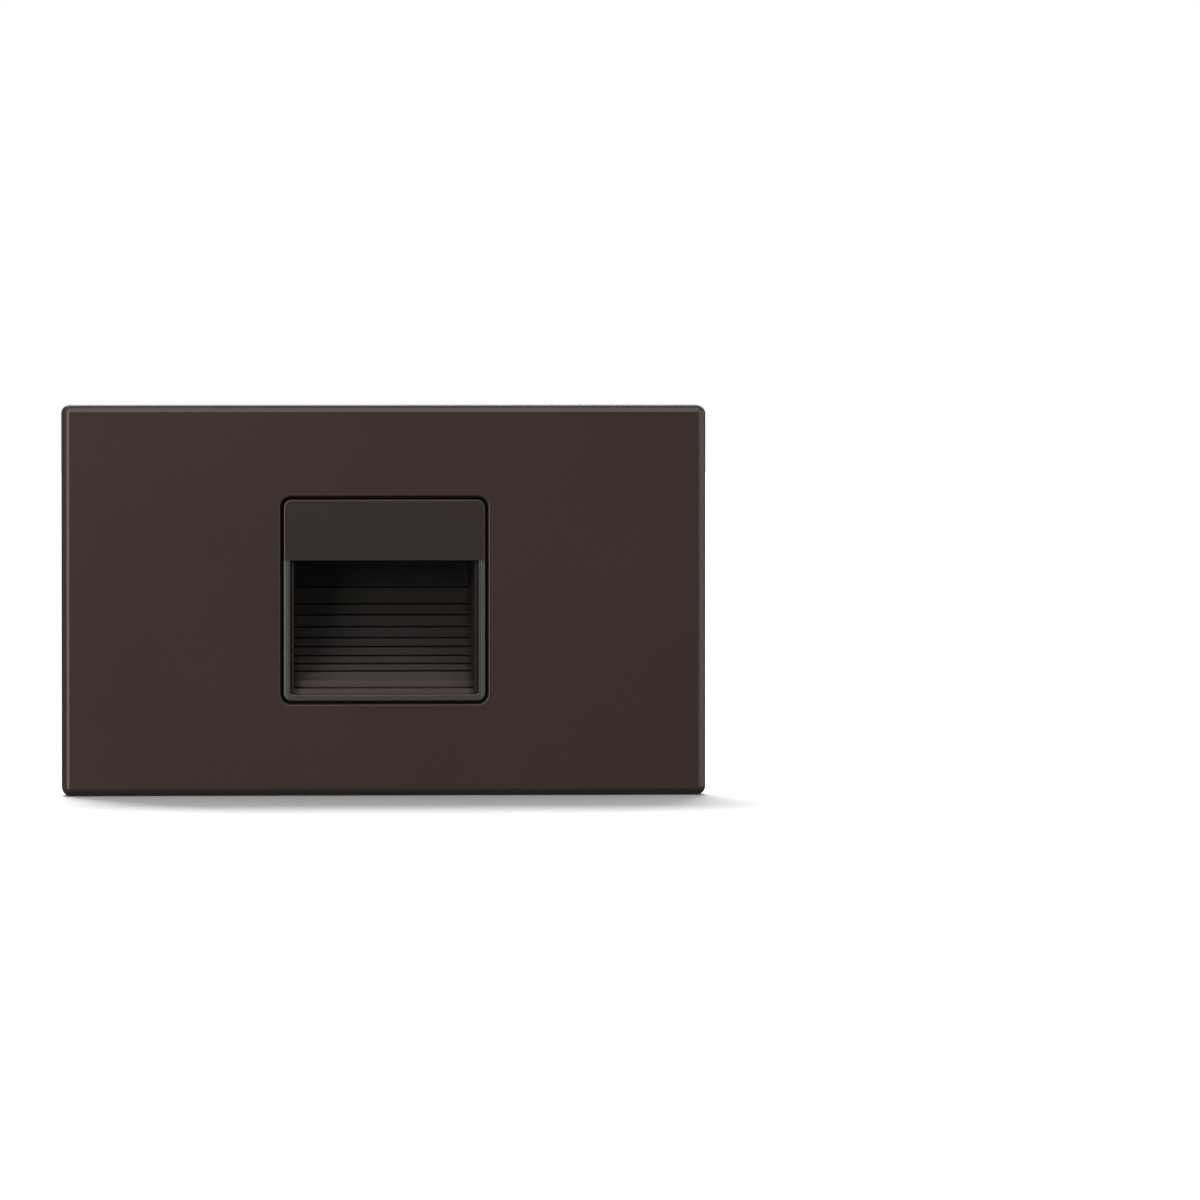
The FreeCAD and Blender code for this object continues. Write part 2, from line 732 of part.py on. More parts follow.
def make_case_ring(y0, y1):
    outer = rounded_prism(case_width / 2, chamber_half_z, y0, y1, case_corner_radius)
    inner = rounded_prism(case_inner_half_x, case_inner_half_z, y0, y1, case_inner_corner_radius)
    pads = [rod(chamber_boss_radius, y0, y1, x, z) for x, z in cover_screw_places]
    return joined([outer.cut(inner)] + pads)


def make_driver_case():
    floor = rounded_prism(case_width / 2, chamber_half_z, case_front_y, case_floor_y, case_corner_radius)
    walls = make_case_ring(case_floor_y, case_back_y)
    standoffs = [rod(standoff_radius, case_floor_y, board_front_y, x, z) for x, z in driver_screw_places]
    holes = [rod(bushing_radius, case_front_y, case_floor_y, 0, lead_z)]
    holes += screw_holes(case_screw_radius, case_front_y, case_floor_y, boss_places)
    cover_reach = cover_screw_length - cover_thickness - seal_thickness + screw_hole_spare
    holes += screw_holes(case_screw_radius, case_back_y - cover_reach, case_back_y, cover_screw_places)
    board_reach = driver_screw_length - board_thickness + screw_hole_spare / 2
    holes += screw_holes(board_screw_radius, board_front_y - board_reach, board_front_y, driver_screw_places)
    return joined([floor, walls] + standoffs).cut(holes)


def make_case_screws():
    shape = screw(case_screw_radius, case_screw_length, case_screw_head_radius, case_screw_head_height)
    return copies(turned_round(shape), boss_places, case_floor_y)


def make_cover_seal():
    ring = make_case_ring(case_back_y, cover_front_y)
    return ring.cut(screw_holes(case_screw_radius, case_back_y, cover_front_y, cover_screw_places))


def make_rear_cover():
    cover = rounded_prism(case_width / 2, chamber_half_z, cover_front_y, cover_back_y, case_corner_radius)
    neck_hole = rod(inlet_radius + inlet_neck_wall + inlet_clearance, cover_front_y, cover_back_y)
    holes = screw_holes(case_screw_radius, cover_front_y, cover_back_y, cover_screw_places)
    return cover.cut([neck_hole] + holes)


def make_cover_screws():
    shape = screw(case_screw_radius, cover_screw_length, case_screw_head_radius, case_screw_head_height)
    return copies(turned_round(shape), cover_screw_places, cover_back_y)


def make_inlet_grommet():
    inner_y = cover_front_y - inlet_inner_flange_thickness
    outer_y = cover_back_y + inlet_outer_flange_thickness
    neck = rod(inlet_radius + inlet_neck_wall, cover_front_y, cover_back_y)
    inner_flange = rod(inlet_inner_flange_radius, inner_y, cover_front_y)
    flange = rod(inlet_outer_flange_radius, cover_back_y, outer_y)
    flange = flange.makeFillet(inlet_outer_flange_thickness / 2, edges_at_y(flange, outer_y))
    return joined([neck, inner_flange, flange]).cut(rod(inlet_radius, inner_y, outer_y))


# Driver board and its parts, all standing on the board's back


def make_driver_board():
    board = block(-board_half_x, board_half_x, board_front_y, board_back_y, -board_half_z, board_half_z)
    return board.cut(screw_holes(board_screw_radius, board_front_y, board_back_y, driver_screw_places))


def make_driver_board_screws():
    shape = screw(board_screw_radius, driver_screw_length, board_screw_head_radius, board_screw_head_height)
    return copies(turned_round(shape), driver_screw_places, board_back_y)


def row_places(widths):
    # Middles of the parts in a row along X, one gap apart and centred on the board.
    x = -(sum(widths) + part_gap * (len(widths) - 1)) / 2
    places = []
    for width in widths:
        places.append(x + width / 2)
        x += width + part_gap
    return places


def row_z(depth):
    # Distance of a row part's middle from the board's middle: its outer side is at the board's edge.
    return board_half_z - board_edge_margin - depth / 2


upper_row = row_places([core_width, 2 * inductor_radius, varistor_thickness, film_capacitor_width])
lower_row = row_places(
    [2 * output_capacitor_radius, 2 * fuse_radius, terminal_width, bridge_width, 2 * bulk_capacitor_radius]
)


def standing_block(x, z, width, depth, height):
    x0 = x - width / 2
    z0 = z - depth / 2
    return block(x0, x0 + width, board_back_y, board_back_y + height, z0, z0 + depth)


def standing_can(x, z, radius, height):
    top_y = board_back_y + height
    can = rod(radius, board_back_y, top_y, x, z)
    return can.makeFillet(capacitor_edge_radius, edges_at_y(can, top_y))


bobbin_flange_radius = core_leg_radius + bobbin_wall + winding_thickness
transformer_z = row_z(2 * bobbin_flange_radius)


def make_transformer_core():
    x = upper_row[0]
    z = transformer_z
    half_height = core_height / 2
    window_half = core_width / 2 - core_yoke
    halves = []
    for start_y in (board_back_y, board_back_y + half_height):
        half = standing_block(x, z, core_width, core_depth, half_height)
        half = half.translated(FreeCAD.Vector(0, start_y - board_back_y, 0))
        back_y = board_back_y + core_height - core_yoke
        gap_y0 = max(start_y, board_back_y + core_yoke)
        gap_y1 = min(start_y + half_height, back_y)
        gap = block(x - window_half, x + window_half, gap_y0, gap_y1, z - core_depth, z + core_depth)
        halves.append(joined([half.cut(gap), rod(core_leg_radius, gap_y0, gap_y1, x, z)]))
    return Part.makeCompound(halves)


def bobbin_rod(radius, y0, y1):
    return rod(radius, y0, y1, upper_row[0], transformer_z)


def make_transformer_bobbin():
    y0 = board_back_y + core_yoke
    y1 = board_back_y + core_height - core_yoke
    tube = bobbin_rod(core_leg_radius + bobbin_wall, y0, y1)
    lower = bobbin_rod(bobbin_flange_radius, y0, y0 + bobbin_wall)
    upper = bobbin_rod(bobbin_flange_radius, y1 - bobbin_wall, y1)
    return joined([tube, lower, upper]).cut(bobbin_rod(core_leg_radius, y0, y1))


def make_transformer_winding():
    y0 = board_back_y + core_yoke + bobbin_wall
    y1 = board_back_y + core_height - core_yoke - bobbin_wall
    inner = bobbin_rod(core_leg_radius + bobbin_wall, y0, y1)
    return bobbin_rod(bobbin_flange_radius, y0, y1).cut(inner)


def make_filter_inductor():
    x = upper_row[1]
    z = row_z(2 * inductor_radius)
    top_y = board_back_y + inductor_height
    winding_radius = inductor_radius - inductor_winding_inset
    lower = rod(inductor_radius, board_back_y, board_back_y + inductor_flange, x, z)
    winding = rod(winding_radius, board_back_y + inductor_flange, top_y - inductor_flange, x, z)
    upper = rod(inductor_radius, top_y - inductor_flange, top_y, x, z)
    return joined([lower, winding, upper])


def make_surge_varistor():
    x = upper_row[2]
    z = row_z(2 * varistor_radius)
    centre_y = board_back_y + varistor_leg_length + varistor_radius
    disc_at = FreeCAD.Vector(x - varistor_thickness / 2, centre_y, z)
    disc = Part.makeCylinder(varistor_radius, varistor_thickness, disc_at, ALONG_X)
    disc = disc.makeFillet(capacitor_edge_radius, disc.Edges[0::2])
    legs = [rod(leg_radius, board_back_y, centre_y, x, z + side * varistor_radius / 2) for side in (-1, 1)]
    return joined([disc] + legs)


def make_film_capacitor():
    z = row_z(film_capacitor_depth)
    body = standing_block(upper_row[3], z, film_capacitor_width, film_capacitor_depth, film_capacitor_height)
    return body.makeFillet(capacitor_edge_radius, edges_along_y(body))


def make_output_capacitor():
    z = -row_z(2 * output_capacitor_radius)
    return standing_can(lower_row[0], z, output_capacitor_radius, output_capacitor_height)


def make_input_fuse():
    return standing_can(lower_row[1], -row_z(2 * fuse_radius), fuse_radius, fuse_height)


def make_supply_terminal():
    x = lower_row[2]
    z = -row_z(terminal_depth)
    body = standing_block(x, z, terminal_width, terminal_depth, terminal_height)
    way = terminal_width / terminal_ways
    top_y = board_back_y + terminal_height
    middle_y = board_back_y + terminal_height / 2
    mouth_z = z + terminal_depth / 2
    half = terminal_entry_size / 2
    cuts = []
    for number in range(terminal_ways):
        way_x = x - terminal_width / 2 + way * (number + 0.5)
        cuts.append(
            block(
                way_x - half,
                way_x + half,
                middle_y - half,
                middle_y + half,
                mouth_z - terminal_entry_depth,
                mouth_z,
            )
        )
        cuts.append(rod(terminal_screw_radius, middle_y, top_y, way_x, z))
    return body.cut(cuts)


def chip_with_legs(x, z, width, depth, height, leg_count):
    body = standing_block(x, z, width, depth, height)
    pitch = width / leg_count
    legs = []
    for number in range(leg_count):
        leg_x = x - width / 2 + pitch * (number + 0.5)
        legs.append(standing_block(leg_x, z, chip_leg_width, depth + 2 * chip_leg_length, chip_leg_height))
    return joined([body] + legs)


def make_bridge_rectifier():
    depth = bridge_depth + 2 * chip_leg_length
    z = -row_z(depth)
    return chip_with_legs(lower_row[3], z, bridge_width, bridge_depth, bridge_height, bridge_legs)


def make_controller_chip():
    return chip_with_legs(-chip_distance, 0, chip_width, chip_depth, chip_height, chip_legs)


def make_bulk_capacitor():
    z = -row_z(2 * bulk_capacitor_radius)
    return standing_can(lower_row[4], z, bulk_capacitor_radius, bulk_capacitor_height)


sub_parts = {
    "faceplate": make_faceplate(),
    "plate_studs": make_plate_studs(),
    "foam_gasket": make_foam_gasket(),
    "mounting_yoke": make_mounting_yoke(),
    "box_screws": make_box_screws(),
    "ground_screw": make_ground_screw(),
    "snap_bushes": make_snap_bushes(),
    "head_gasket": make_head_gasket(),
    "lamp_housing": make_lamp_housing(),
    "yoke_screws": make_yoke_screws(),
    "stepped_baffle": make_stepped_baffle(),
    "lens_seal": make_lens_seal(),
    "diffuser_lens": make_diffuser_lens(),
    "thermal_pad": make_led_slab(led_board_top_z, led_pad_z),
    "led_board": make_led_slab(led_board_bottom_z, led_board_top_z),
    "led_emitters": make_led_emitters(),
    "led_board_screws": make_led_board_screws(),
    "led_lead_red": make_led_lead(lead_spacing / 2),
    "led_lead_black": make_led_lead(-lead_spacing / 2),
    "lead_bushing": make_lead_bushing(),
    "case_seal": make_case_seal(),
    "driver_case": make_driver_case(),
    "case_screws": make_case_screws(),
    "driver_board": make_driver_board(),
    "driver_board_screws": make_driver_board_screws(),
    "transformer_core": make_transformer_core(),
    "transformer_bobbin": make_transformer_bobbin(),
    "transformer_winding": make_transformer_winding(),
    "filter_inductor": make_filter_inductor(),
    "surge_varistor": make_surge_varistor(),
    "film_capacitor": make_film_capacitor(),
    "output_capacitor": make_output_capacitor(),
    "input_fuse": make_input_fuse(),
    "supply_terminal": make_supply_terminal(),
    "bridge_rectifier": make_bridge_rectifier(),
    "bulk_capacitor": make_bulk_capacitor(),
    "controller_chip": make_controller_chip(),
    "cover_seal": make_cover_seal(),
    "rear_cover": make_rear_cover(),
    "cover_screws": make_cover_screws(),
    "inlet_grommet": make_inlet_grommet(),
}

os.makedirs("parts", exist_ok=True)
for name, shape in sub_parts.items():
    shape.exportStep(f"parts/{name}.step")
    print(f"{name}: {len(shape.Solids)} solids, valid {shape.isValid()}, {shape.Volume:.1f} mm3")
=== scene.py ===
import math
import bmesh
import bpy
from mathutils import Matrix, Vector


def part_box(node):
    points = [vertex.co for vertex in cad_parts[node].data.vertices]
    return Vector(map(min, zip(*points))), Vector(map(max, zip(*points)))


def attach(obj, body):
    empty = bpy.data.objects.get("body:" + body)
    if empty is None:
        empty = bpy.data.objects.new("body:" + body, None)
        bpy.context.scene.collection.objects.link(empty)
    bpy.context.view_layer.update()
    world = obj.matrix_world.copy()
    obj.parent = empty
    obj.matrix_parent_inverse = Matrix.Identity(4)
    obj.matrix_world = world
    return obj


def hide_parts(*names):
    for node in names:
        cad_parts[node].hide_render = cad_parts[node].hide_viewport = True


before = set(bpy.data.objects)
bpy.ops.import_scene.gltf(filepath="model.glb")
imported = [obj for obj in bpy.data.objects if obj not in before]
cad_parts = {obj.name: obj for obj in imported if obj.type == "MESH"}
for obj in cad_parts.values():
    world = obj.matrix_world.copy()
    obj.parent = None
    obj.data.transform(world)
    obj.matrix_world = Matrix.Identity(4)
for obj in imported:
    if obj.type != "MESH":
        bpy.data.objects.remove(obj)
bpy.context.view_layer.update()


# Lamp housing
# A zinc die casting in one piece: the square nose with its hood, the shelf over the recess and the
# finned chamber behind. It is powder coated in satin dark bronze. The narrow frame beside and below
# the recess is lightened as a painted highlight.


class Tone:
    """An output of a shader node. Sums, products and differences of tones add Math nodes."""

    def __init__(self, finish, output):
        self.finish = finish
        self.output = output

    def maths(self, operation, *inputs):
        return self.finish.node("ShaderNodeMath", {"operation": operation}, dict(enumerate(inputs)))

    def __add__(self, other):
        return self.maths("ADD", self, other)

    def __sub__(self, other):
        return self.maths("SUBTRACT", self, other)

    def __rsub__(self, other):
        return self.maths("SUBTRACT", other, self)

    def __mul__(self, other):
        return self.maths("MULTIPLY", self, other)

    def __truediv__(self, other):
        return self.maths("DIVIDE", self, other)

    def __abs__(self):
        return self.maths("ABSOLUTE", self)

    __radd__ = __add__
    __rmul__ = __mul__


class Finish:
    """The surface of one material, made of shader nodes that read the place on the object."""

    def __init__(self, name):
        self.material = bpy.data.materials.new(name)
        self.material.use_nodes = True
        self.tree = self.material.node_tree
        self.shader = self.tree.nodes["Principled BSDF"]
        self.place = self.node("ShaderNodeTexCoord", {}, {}, "Object")

    def node(self, kind, settings, sockets, output=0):
        made = self.tree.nodes.new(kind)
        for name, value in settings.items():
            setattr(made, name, value)
        self.fill(made, sockets)
        return Tone(self, made.outputs[output])

    def fill(self, node, sockets):
        for name, value in sockets.items():
            socket = node.inputs[name]
            if isinstance(value, Tone):
                self.tree.links.new(value.output, socket)
            else:
                socket.default_value = (*value, 1.0) if socket.type == "RGBA" else value

    def surface(self, sockets):
        self.fill(self.shader, sockets)

    def noise(self, size, detail=2.0, stretch=(1.0, 1.0, 1.0)):
        """Clouds from 0 to 1, about as wide as size."""
        place = self.node("ShaderNodeMapping", {}, {"Vector": self.place, "Scale": stretch})
        return self.node("ShaderNodeTexNoise", {}, {"Vector": place, "Scale": 1 / size, "Detail": detail})

    def mixed(self, share, first, second):
        return self.node("ShaderNodeMix", {"data_type": "RGBA"}, {0: share, 6: first, 7: second}, 2)

    def ramp(self, value, low, high):
        """0 below low and 1 above high, with a smooth step between them."""
        settings = {"interpolation_type": "SMOOTHSTEP"}
        return self.node("ShaderNodeMapRange", settings, {"Value": value, 1: low, 2: high})

    def relief(self, height, depth):
        return self.node("ShaderNodeBump", {}, {"Height": height, "Distance": depth})

    def axes(self):
        places = self.node("ShaderNodeSeparateXYZ", {}, {"Vector": self.place}).output.node.outputs
        return [Tone(self, place) for place in places]


bronze_sheen = (1.0, 0.9, 0.84)
# The lighter bronze of a painted highlight on the nose's narrow frame.
frame_highlight_bronze = (0.1, 0.087, 0.08)
casting_deep = (0.0365, 0.0265, 0.0245)
casting_light = (0.0445, 0.0327, 0.0306)
drift_size = 0.03
peel_size = 0.0011
speck_size = 0.00022
casting_peel_depth = 0.000005
frame_side = (0.0171, 0.0177)
frame_foot = (0.0168, 0.0171)
hood_edge = (0.0066, 0.0076)
nose_front = (-0.0064, -0.0056)


def bronze_coat(name, peel_depth, deep, light, highlight_mask=None):
    """Satin powder coat with fine orange peel. Where the mask gives 1, the colour is a painted highlight.
    """
    coat = Finish(name)
    drift = coat.noise(drift_size, 3.0)
    speck = coat.noise(speck_size, 2.0)
    peel = coat.noise(peel_size, 1.0)
    tone = coat.mixed(0.7 * drift + 0.3 * speck, deep, light)
    # The mask lightens the base colour there as a painted highlight.
    if highlight_mask:
        tone = coat.mixed(highlight_mask(coat), tone, frame_highlight_bronze)
    coat.surface(
        {
            "Base Color": tone,
            "Roughness": 0.22 + 0.05 * drift + 0.05 * speck,
            "Specular Tint": bronze_sheen,
            "Normal": coat.relief(peel + 0.2 * speck, peel_depth),
        }
    )
    return coat


def painted_frame_highlight(coat):
    """The narrow frame of the nose beside and below the recess, where the coat has a painted highlight."""
    across, into, upward = coat.axes()
    beside = coat.ramp(abs(across), *frame_side)
    below = coat.ramp(0 - upward, *frame_foot)
    frame_share = beside.maths("MAXIMUM", beside, 0.5 * below)
    under_hood = 1 - coat.ramp(upward, *hood_edge)
    at_front = 1 - coat.ramp(into, *nose_front)
    return frame_share * under_hood * at_front


def coat_node(node, finish):
    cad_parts[node].material_slots[0].material = finish.material


bronze_casting = bronze_coat("bronze_casting", casting_peel_depth, casting_deep, casting_light, painted_frame_highlight)
coat_node("lamp_housing", bronze_casting)


# Stepped insert
# A moulding that slides into the nose from behind. Its fine curved steps break up the light. Its
# colour holds painted shade: dark under the hood, at the sides and deep in, lit bronze on the lower steps.

# Painted shade: these tones run from nearly black in the deepest shade to the lit bronze of the lower
# steps.
insert_deep_shade = (0.0062, 0.0046, 0.0034)
insert_shade_low = (0.02, 0.0148, 0.0112)
insert_shade_high = (0.0305, 0.0238, 0.018)
insert_lit = (0.074, 0.0545, 0.049)
insert_groove_shade = (0.003, 0.0026, 0.0022)
side_shade_band = (0.0152, 0.0168)
hood_shade_band = (0.0022, 0.0034)
depth_shade_band = (-0.0065, 0.006)
shade_rise = (-0.0068, -0.0035)
groove_shade_band = (0.00004, 0.0002)
steps_top = 0.0056
curve_middle = -0.01592
curve_depth = 0.02842
curve_height = 0.02405

stepped_insert = Finish("stepped_insert")
across, into, upward = stepped_insert.axes()
blotch = stepped_insert.noise(0.004, 3.0)
grain = stepped_insert.noise(0.00025, 2.0)
# Painted shade at the side walls, under the hood and deeper in; the uppermost shaded steps are painted a
# little lighter.
beside = stepped_insert.ramp(abs(across) + 0.001 * blotch, *side_shade_band)
out_of_shade = (1 - beside) * (1 - stepped_insert.ramp(upward + 0.0008 * blotch, *hood_shade_band))
front_lit = out_of_shade * stepped_insert.ramp(0 - into + 0.0015 * blotch, *depth_shade_band)
# The grooves lie deeper than the ellipse that the steps follow, and they get a darker painted shade.
below_top = (steps_top - upward) / curve_height
flatness = 1 - below_top * below_top
curve = curve_middle + curve_depth * flatness.maths("SQRT", flatness)
# Painted shade in the grooves, weaker on the lit lower steps.
groove_shade = stepped_insert.ramp(into - curve, *groove_shade_band) * (1 - 0.7 * front_lit)
higher = stepped_insert.ramp(upward, *shade_rise)
shade_tone = stepped_insert.mixed(higher, insert_shade_low, insert_shade_high)
shaded = stepped_insert.mixed(out_of_shade, insert_deep_shade, shade_tone)
lit_or_shaded = stepped_insert.mixed(front_lit, shaded, insert_lit)
stepped_insert.surface(
    {
        "Base Color": stepped_insert.mixed(groove_shade, lit_or_shaded, insert_groove_shade),
        "Roughness": 0.52 - 0.14 * front_lit + 0.08 * blotch + 0.3 * groove_shade,
        "Normal": stepped_insert.relief(grain, 0.000008),
    }
)
coat_node("stepped_baffle", stepped_insert)


# Diffuser lens and its seal
# A sheet of frosted polycarbonate. It lies on a soft silicone frame over the shelf's window and lets
# the light down into the recess.

lens_finish = Finish("frosted_lens")
frost = lens_finish.noise(0.00015, 1.0)
lens_finish.surface(
    {
        "Base Color": lens_finish.mixed(frost, (0.78, 0.78, 0.74), (0.86, 0.85, 0.81)),
        "Roughness": 0.45 + 0.2 * frost,
        "Transmission Weight": 0.5,
        "Normal": lens_finish.relief(frost, 0.000008),
    }
)
coat_node("diffuser_lens", lens_finish)


def soft_rubber(name, dark, light, roughness):
    rubber = Finish(name)
    bloom = rubber.noise(0.004, 4.0)
    grain = rubber.noise(0.0002, 2.0)
    rubber.surface(
        {
            "Base Color": rubber.mixed(bloom, dark, light),
            "Roughness": roughness - 0.05 + 0.1 * bloom,
            "Normal": rubber.relief(grain + bloom, 0.000012),
        }
    )
    return rubber


silicone = soft_rubber("silicone", (0.27, 0.255, 0.235), (0.36, 0.34, 0.31), 0.5)
coat_node("lens_seal", silicone)


# LED board
# Six white LEDs on an aluminium board with white solder mask, screwed up against the chamber's roof
# through a soft grey thermal pad.

board_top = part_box("led_board")[1].z
bare_edge = 0.0015
mask_fade = 0.0001

thermal = soft_rubber("thermal_pad", (0.33, 0.36, 0.4), (0.42, 0.45, 0.5), 0.65)
coat_node("thermal_pad", thermal)

mask_white = Finish("white_solder_mask")
across, into, upward = mask_white.axes()
mask_edge = mask_white.ramp(upward, board_top - bare_edge, board_top - bare_edge + mask_fade)
mask_cloud = mask_white.noise(0.002, 3.0)
mask_white.surface(
    {
        "Base Color": mask_white.mixed(mask_edge, (0.8, 0.8, 0.77), (0.5, 0.5, 0.5)),
        "Metallic": mask_edge,
        "Roughness": 0.25 + 0.15 * mask_cloud,
        "Normal": mask_white.relief(mask_cloud, 0.00001),
    }
)
coat_node("led_board", mask_white)

emitter_low, emitter_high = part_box("led_emitters")
led_count = 6
led_width = 0.0028
led_pitch = (emitter_high.x - emitter_low.x - led_width) / (led_count - 1)
phosphor_half_width = (0.001, 0.0011)
phosphor_half_length = (0.00135, 0.00145)
phosphor = Finish("led_phosphor")
across, into, upward = phosphor.axes()
from_middle = abs(phosphor.node("ShaderNodeMath", {"operation": "PINGPONG"}, {0: across, 1: led_pitch / 2}))
across_chip = abs(led_pitch / 2 - from_middle)
along_chip = abs(into - (emitter_low.y + emitter_high.y) / 2)
dome_width = 1 - phosphor.ramp(across_chip, *phosphor_half_width)
dome = dome_width * (1 - phosphor.ramp(along_chip, *phosphor_half_length))
phosphor.surface(
    {
        "Base Color": phosphor.mixed(dome, (0.82, 0.81, 0.78), (0.85, 0.6, 0.08)),
        "Roughness": 0.5 - 0.25 * dome,
        "Normal": phosphor.relief(phosphor.noise(0.0003) + dome, 0.00002),
    }
)
coat_node("led_emitters", phosphor)


# Leads and their bushing
# Two insulated wires run from the driver board forward through a rubber bushing in the case's floor
# and bend up to the LED board.


def drawn_insulation(name, dark, light):
    insulation = Finish(name)
    streaks = insulation.noise(0.0004, 2.0, (1.0, 0.05, 1.0))
    insulation.surface(
        {
            "Base Color": insulation.mixed(streaks, dark, light),
            "Roughness": 0.28 + 0.12 * streaks,
            "Normal": insulation.relief(streaks, 0.00001),
        }
    )
    return insulation


red_insulation = drawn_insulation("red_insulation", (0.36, 0.012, 0.012), (0.5, 0.025, 0.02))
coat_node("led_lead_red", red_insulation)
black_insulation = drawn_insulation("black_insulation", (0.012, 0.012, 0.013), (0.028, 0.028, 0.03))
coat_node("led_lead_black", black_insulation)
black_rubber = soft_rubber("black_rubber", (0.014, 0.014, 0.014), (0.03, 0.03, 0.029), 0.62)
coat_node("lead_bushing", black_rubber)


# Driver case
# A black moulded box with a spark-eroded texture, screwed to the back of the housing over a
# silicone seal.


def matt_moulding(name, dark, light, roughness, grain_size, grain_depth):
    moulding = Finish(name)
    flow = moulding.noise(0.012, 3.0)
    grain = moulding.noise(grain_size, 2.0)
    moulding.surface(
        {
            "Base Color": moulding.mixed(0.5 * flow + 0.5 * grain, dark, light),
            "Roughness": roughness - 0.06 + 0.12 * flow,
            "Specular IOR Level": 0.35,
            "Normal": moulding.relief(grain, grain_depth),
        }
    )
    return moulding


case_plastic = matt_moulding(
    "case_plastic", dark=(0.016, 0.016, 0.017), light=(0.032, 0.032, 0.034),
    roughness=0.5, grain_size=0.0005, grain_depth=0.00004,
)
coat_node("driver_case", case_plastic)
coat_node("case_seal", silicone)


# Driver board
# A green glass-fibre board with copper tracks under its solder mask. Two screws hold it on the
# standoffs of the case.

track_grid = 260.0
track_edge = (0.06, 0.09)
green_mask = Finish("green_solder_mask")
track_cells = green_mask.node(
    "ShaderNodeTexVoronoi", {"feature": "DISTANCE_TO_EDGE", "distance": "CHEBYCHEV"},
    {"Vector": green_mask.place, "Scale": track_grid},
)
tracks = green_mask.ramp(track_cells, *track_edge)
green_mask.surface(
    {
        "Base Color": green_mask.mixed(tracks, (0.008, 0.07, 0.03), (0.015, 0.13, 0.05)),
        "Roughness": 0.22 + 0.1 * green_mask.noise(0.001),
        "Normal": green_mask.relief(tracks, 0.00003),
    }
)
coat_node("driver_board", green_mask)

ferrite = matt_moulding(
    "ferrite", dark=(0.05, 0.05, 0.055), light=(0.09, 0.09, 0.1),
    roughness=0.42, grain_size=0.0003, grain_depth=0.00003,
)
coat_node("transformer_core", ferrite)
bobbin_plastic = matt_moulding(
    "bobbin_plastic", dark=(0.03, 0.03, 0.03), light=(0.055, 0.055, 0.052),
    roughness=0.4, grain_size=0.0004, grain_depth=0.00001,
)
coat_node("transformer_bobbin", bobbin_plastic)


def dipped_coat(name, dark, light, roughness):
    coat = Finish(name)
    cloud = coat.noise(0.003, 3.0)
    coat.surface(
        {
            "Base Color": coat.mixed(cloud, dark, light),
            "Roughness": roughness - 0.04 + 0.08 * cloud,
            "Coat Weight": 0.3,
            "Normal": coat.relief(cloud, 0.00006),
        }
    )
    return coat


coat_node("surge_varistor", dipped_coat("blue_coating", (0.03, 0.09, 0.36), (0.06, 0.14, 0.5), 0.35))
coat_node("film_capacitor", dipped_coat("yellow_film", (0.66, 0.42, 0.04), (0.78, 0.53, 0.06), 0.4))
can_sleeve = dipped_coat("can_sleeve", (0.03, 0.035, 0.07), (0.05, 0.055, 0.1), 0.35)
coat_node("output_capacitor", can_sleeve)
coat_node("bulk_capacitor", can_sleeve)
coat_node("input_fuse", dipped_coat("brown_moulding", (0.12, 0.05, 0.03), (0.18, 0.08, 0.05), 0.4))
green_moulding = matt_moulding(
    "green_moulding", dark=(0.04, 0.27, 0.11), light=(0.06, 0.35, 0.16),
    roughness=0.45, grain_size=0.0004, grain_depth=0.00002,
)
coat_node("supply_terminal", green_moulding)
black_moulding = matt_moulding(
    "black_moulding", dark=(0.014, 0.014, 0.016), light=(0.024, 0.024, 0.027),
    roughness=0.5, grain_size=0.0003, grain_depth=0.00002,
)
coat_node("bridge_rectifier", black_moulding)
coat_node("controller_chip", black_moulding)


# Coils
# The transformer's winding fills its bobbin, and the filter inductor is wound on a ferrite drum.
# Both are enamelled copper wire, in even turns side by side.

copper = Finish("enamelled_copper")
enamel = copper.noise(0.0006, 2.0)
copper.surface(
    {
        "Base Color": copper.mixed(enamel, (0.5, 0.17, 0.05), (0.62, 0.25, 0.09)),
        "Metallic": 0.9,
        "Roughness": 0.25 + 0.1 * enamel,
    }
)

wire_radius = 0.0002
wire_pitch = 2.1 * wire_radius
wire_steps = 28
drum_flange = 0.0012
drum_winding_inset = 0.0005
drum_winding_depth = 3 * wire_radius
drum_edge = 0.0003
quarter = math.radians(90)
weld_distance = 0.000001


def turns(first, last, count):
    """Angles from first to last in equal steps."""
    return [first + (last - first) * number / count for number in range(count + 1)]


def finished_piece(name, bm, finish, crease_angle=math.radians(35)):
    """Turns a mesh into an object with smooth faces and crisp sharp edges."""
    bmesh.ops.remove_doubles(bm, verts=bm.verts, dist=weld_distance)
    bmesh.ops.recalc_face_normals(bm, faces=bm.faces)
    for face in bm.faces:
        face.smooth = True
    for edge in bm.edges:
        edge.smooth = edge.calc_face_angle(0) < crease_angle
    mesh = bpy.data.meshes.new(name)
    bm.to_mesh(mesh)
    bm.free()
    mesh.materials.append(finish.material)
    piece = bpy.data.objects.new(name, mesh)
    bpy.context.scene.collection.objects.link(piece)
    shading = piece.modifiers.new("even_shading", "WEIGHTED_NORMAL")
    shading.keep_sharp = True
    return piece


def turned(bm, profile, places, steps=40):
    """Turns a closed profile of (radius, y) round the Y axis through each (x, z) place."""
    for x, z in places:
        rim = [bm.verts.new((x + radius, y, z)) for radius, y in profile]
        edges = [bm.edges.new(pair) for pair in zip(rim, rim[1:])]
        bmesh.ops.spin(
            bm, geom=rim + edges, cent=(x, 0, z), axis=(0, 1, 0),
            angle=math.tau, steps=steps, use_merge=True,
        )


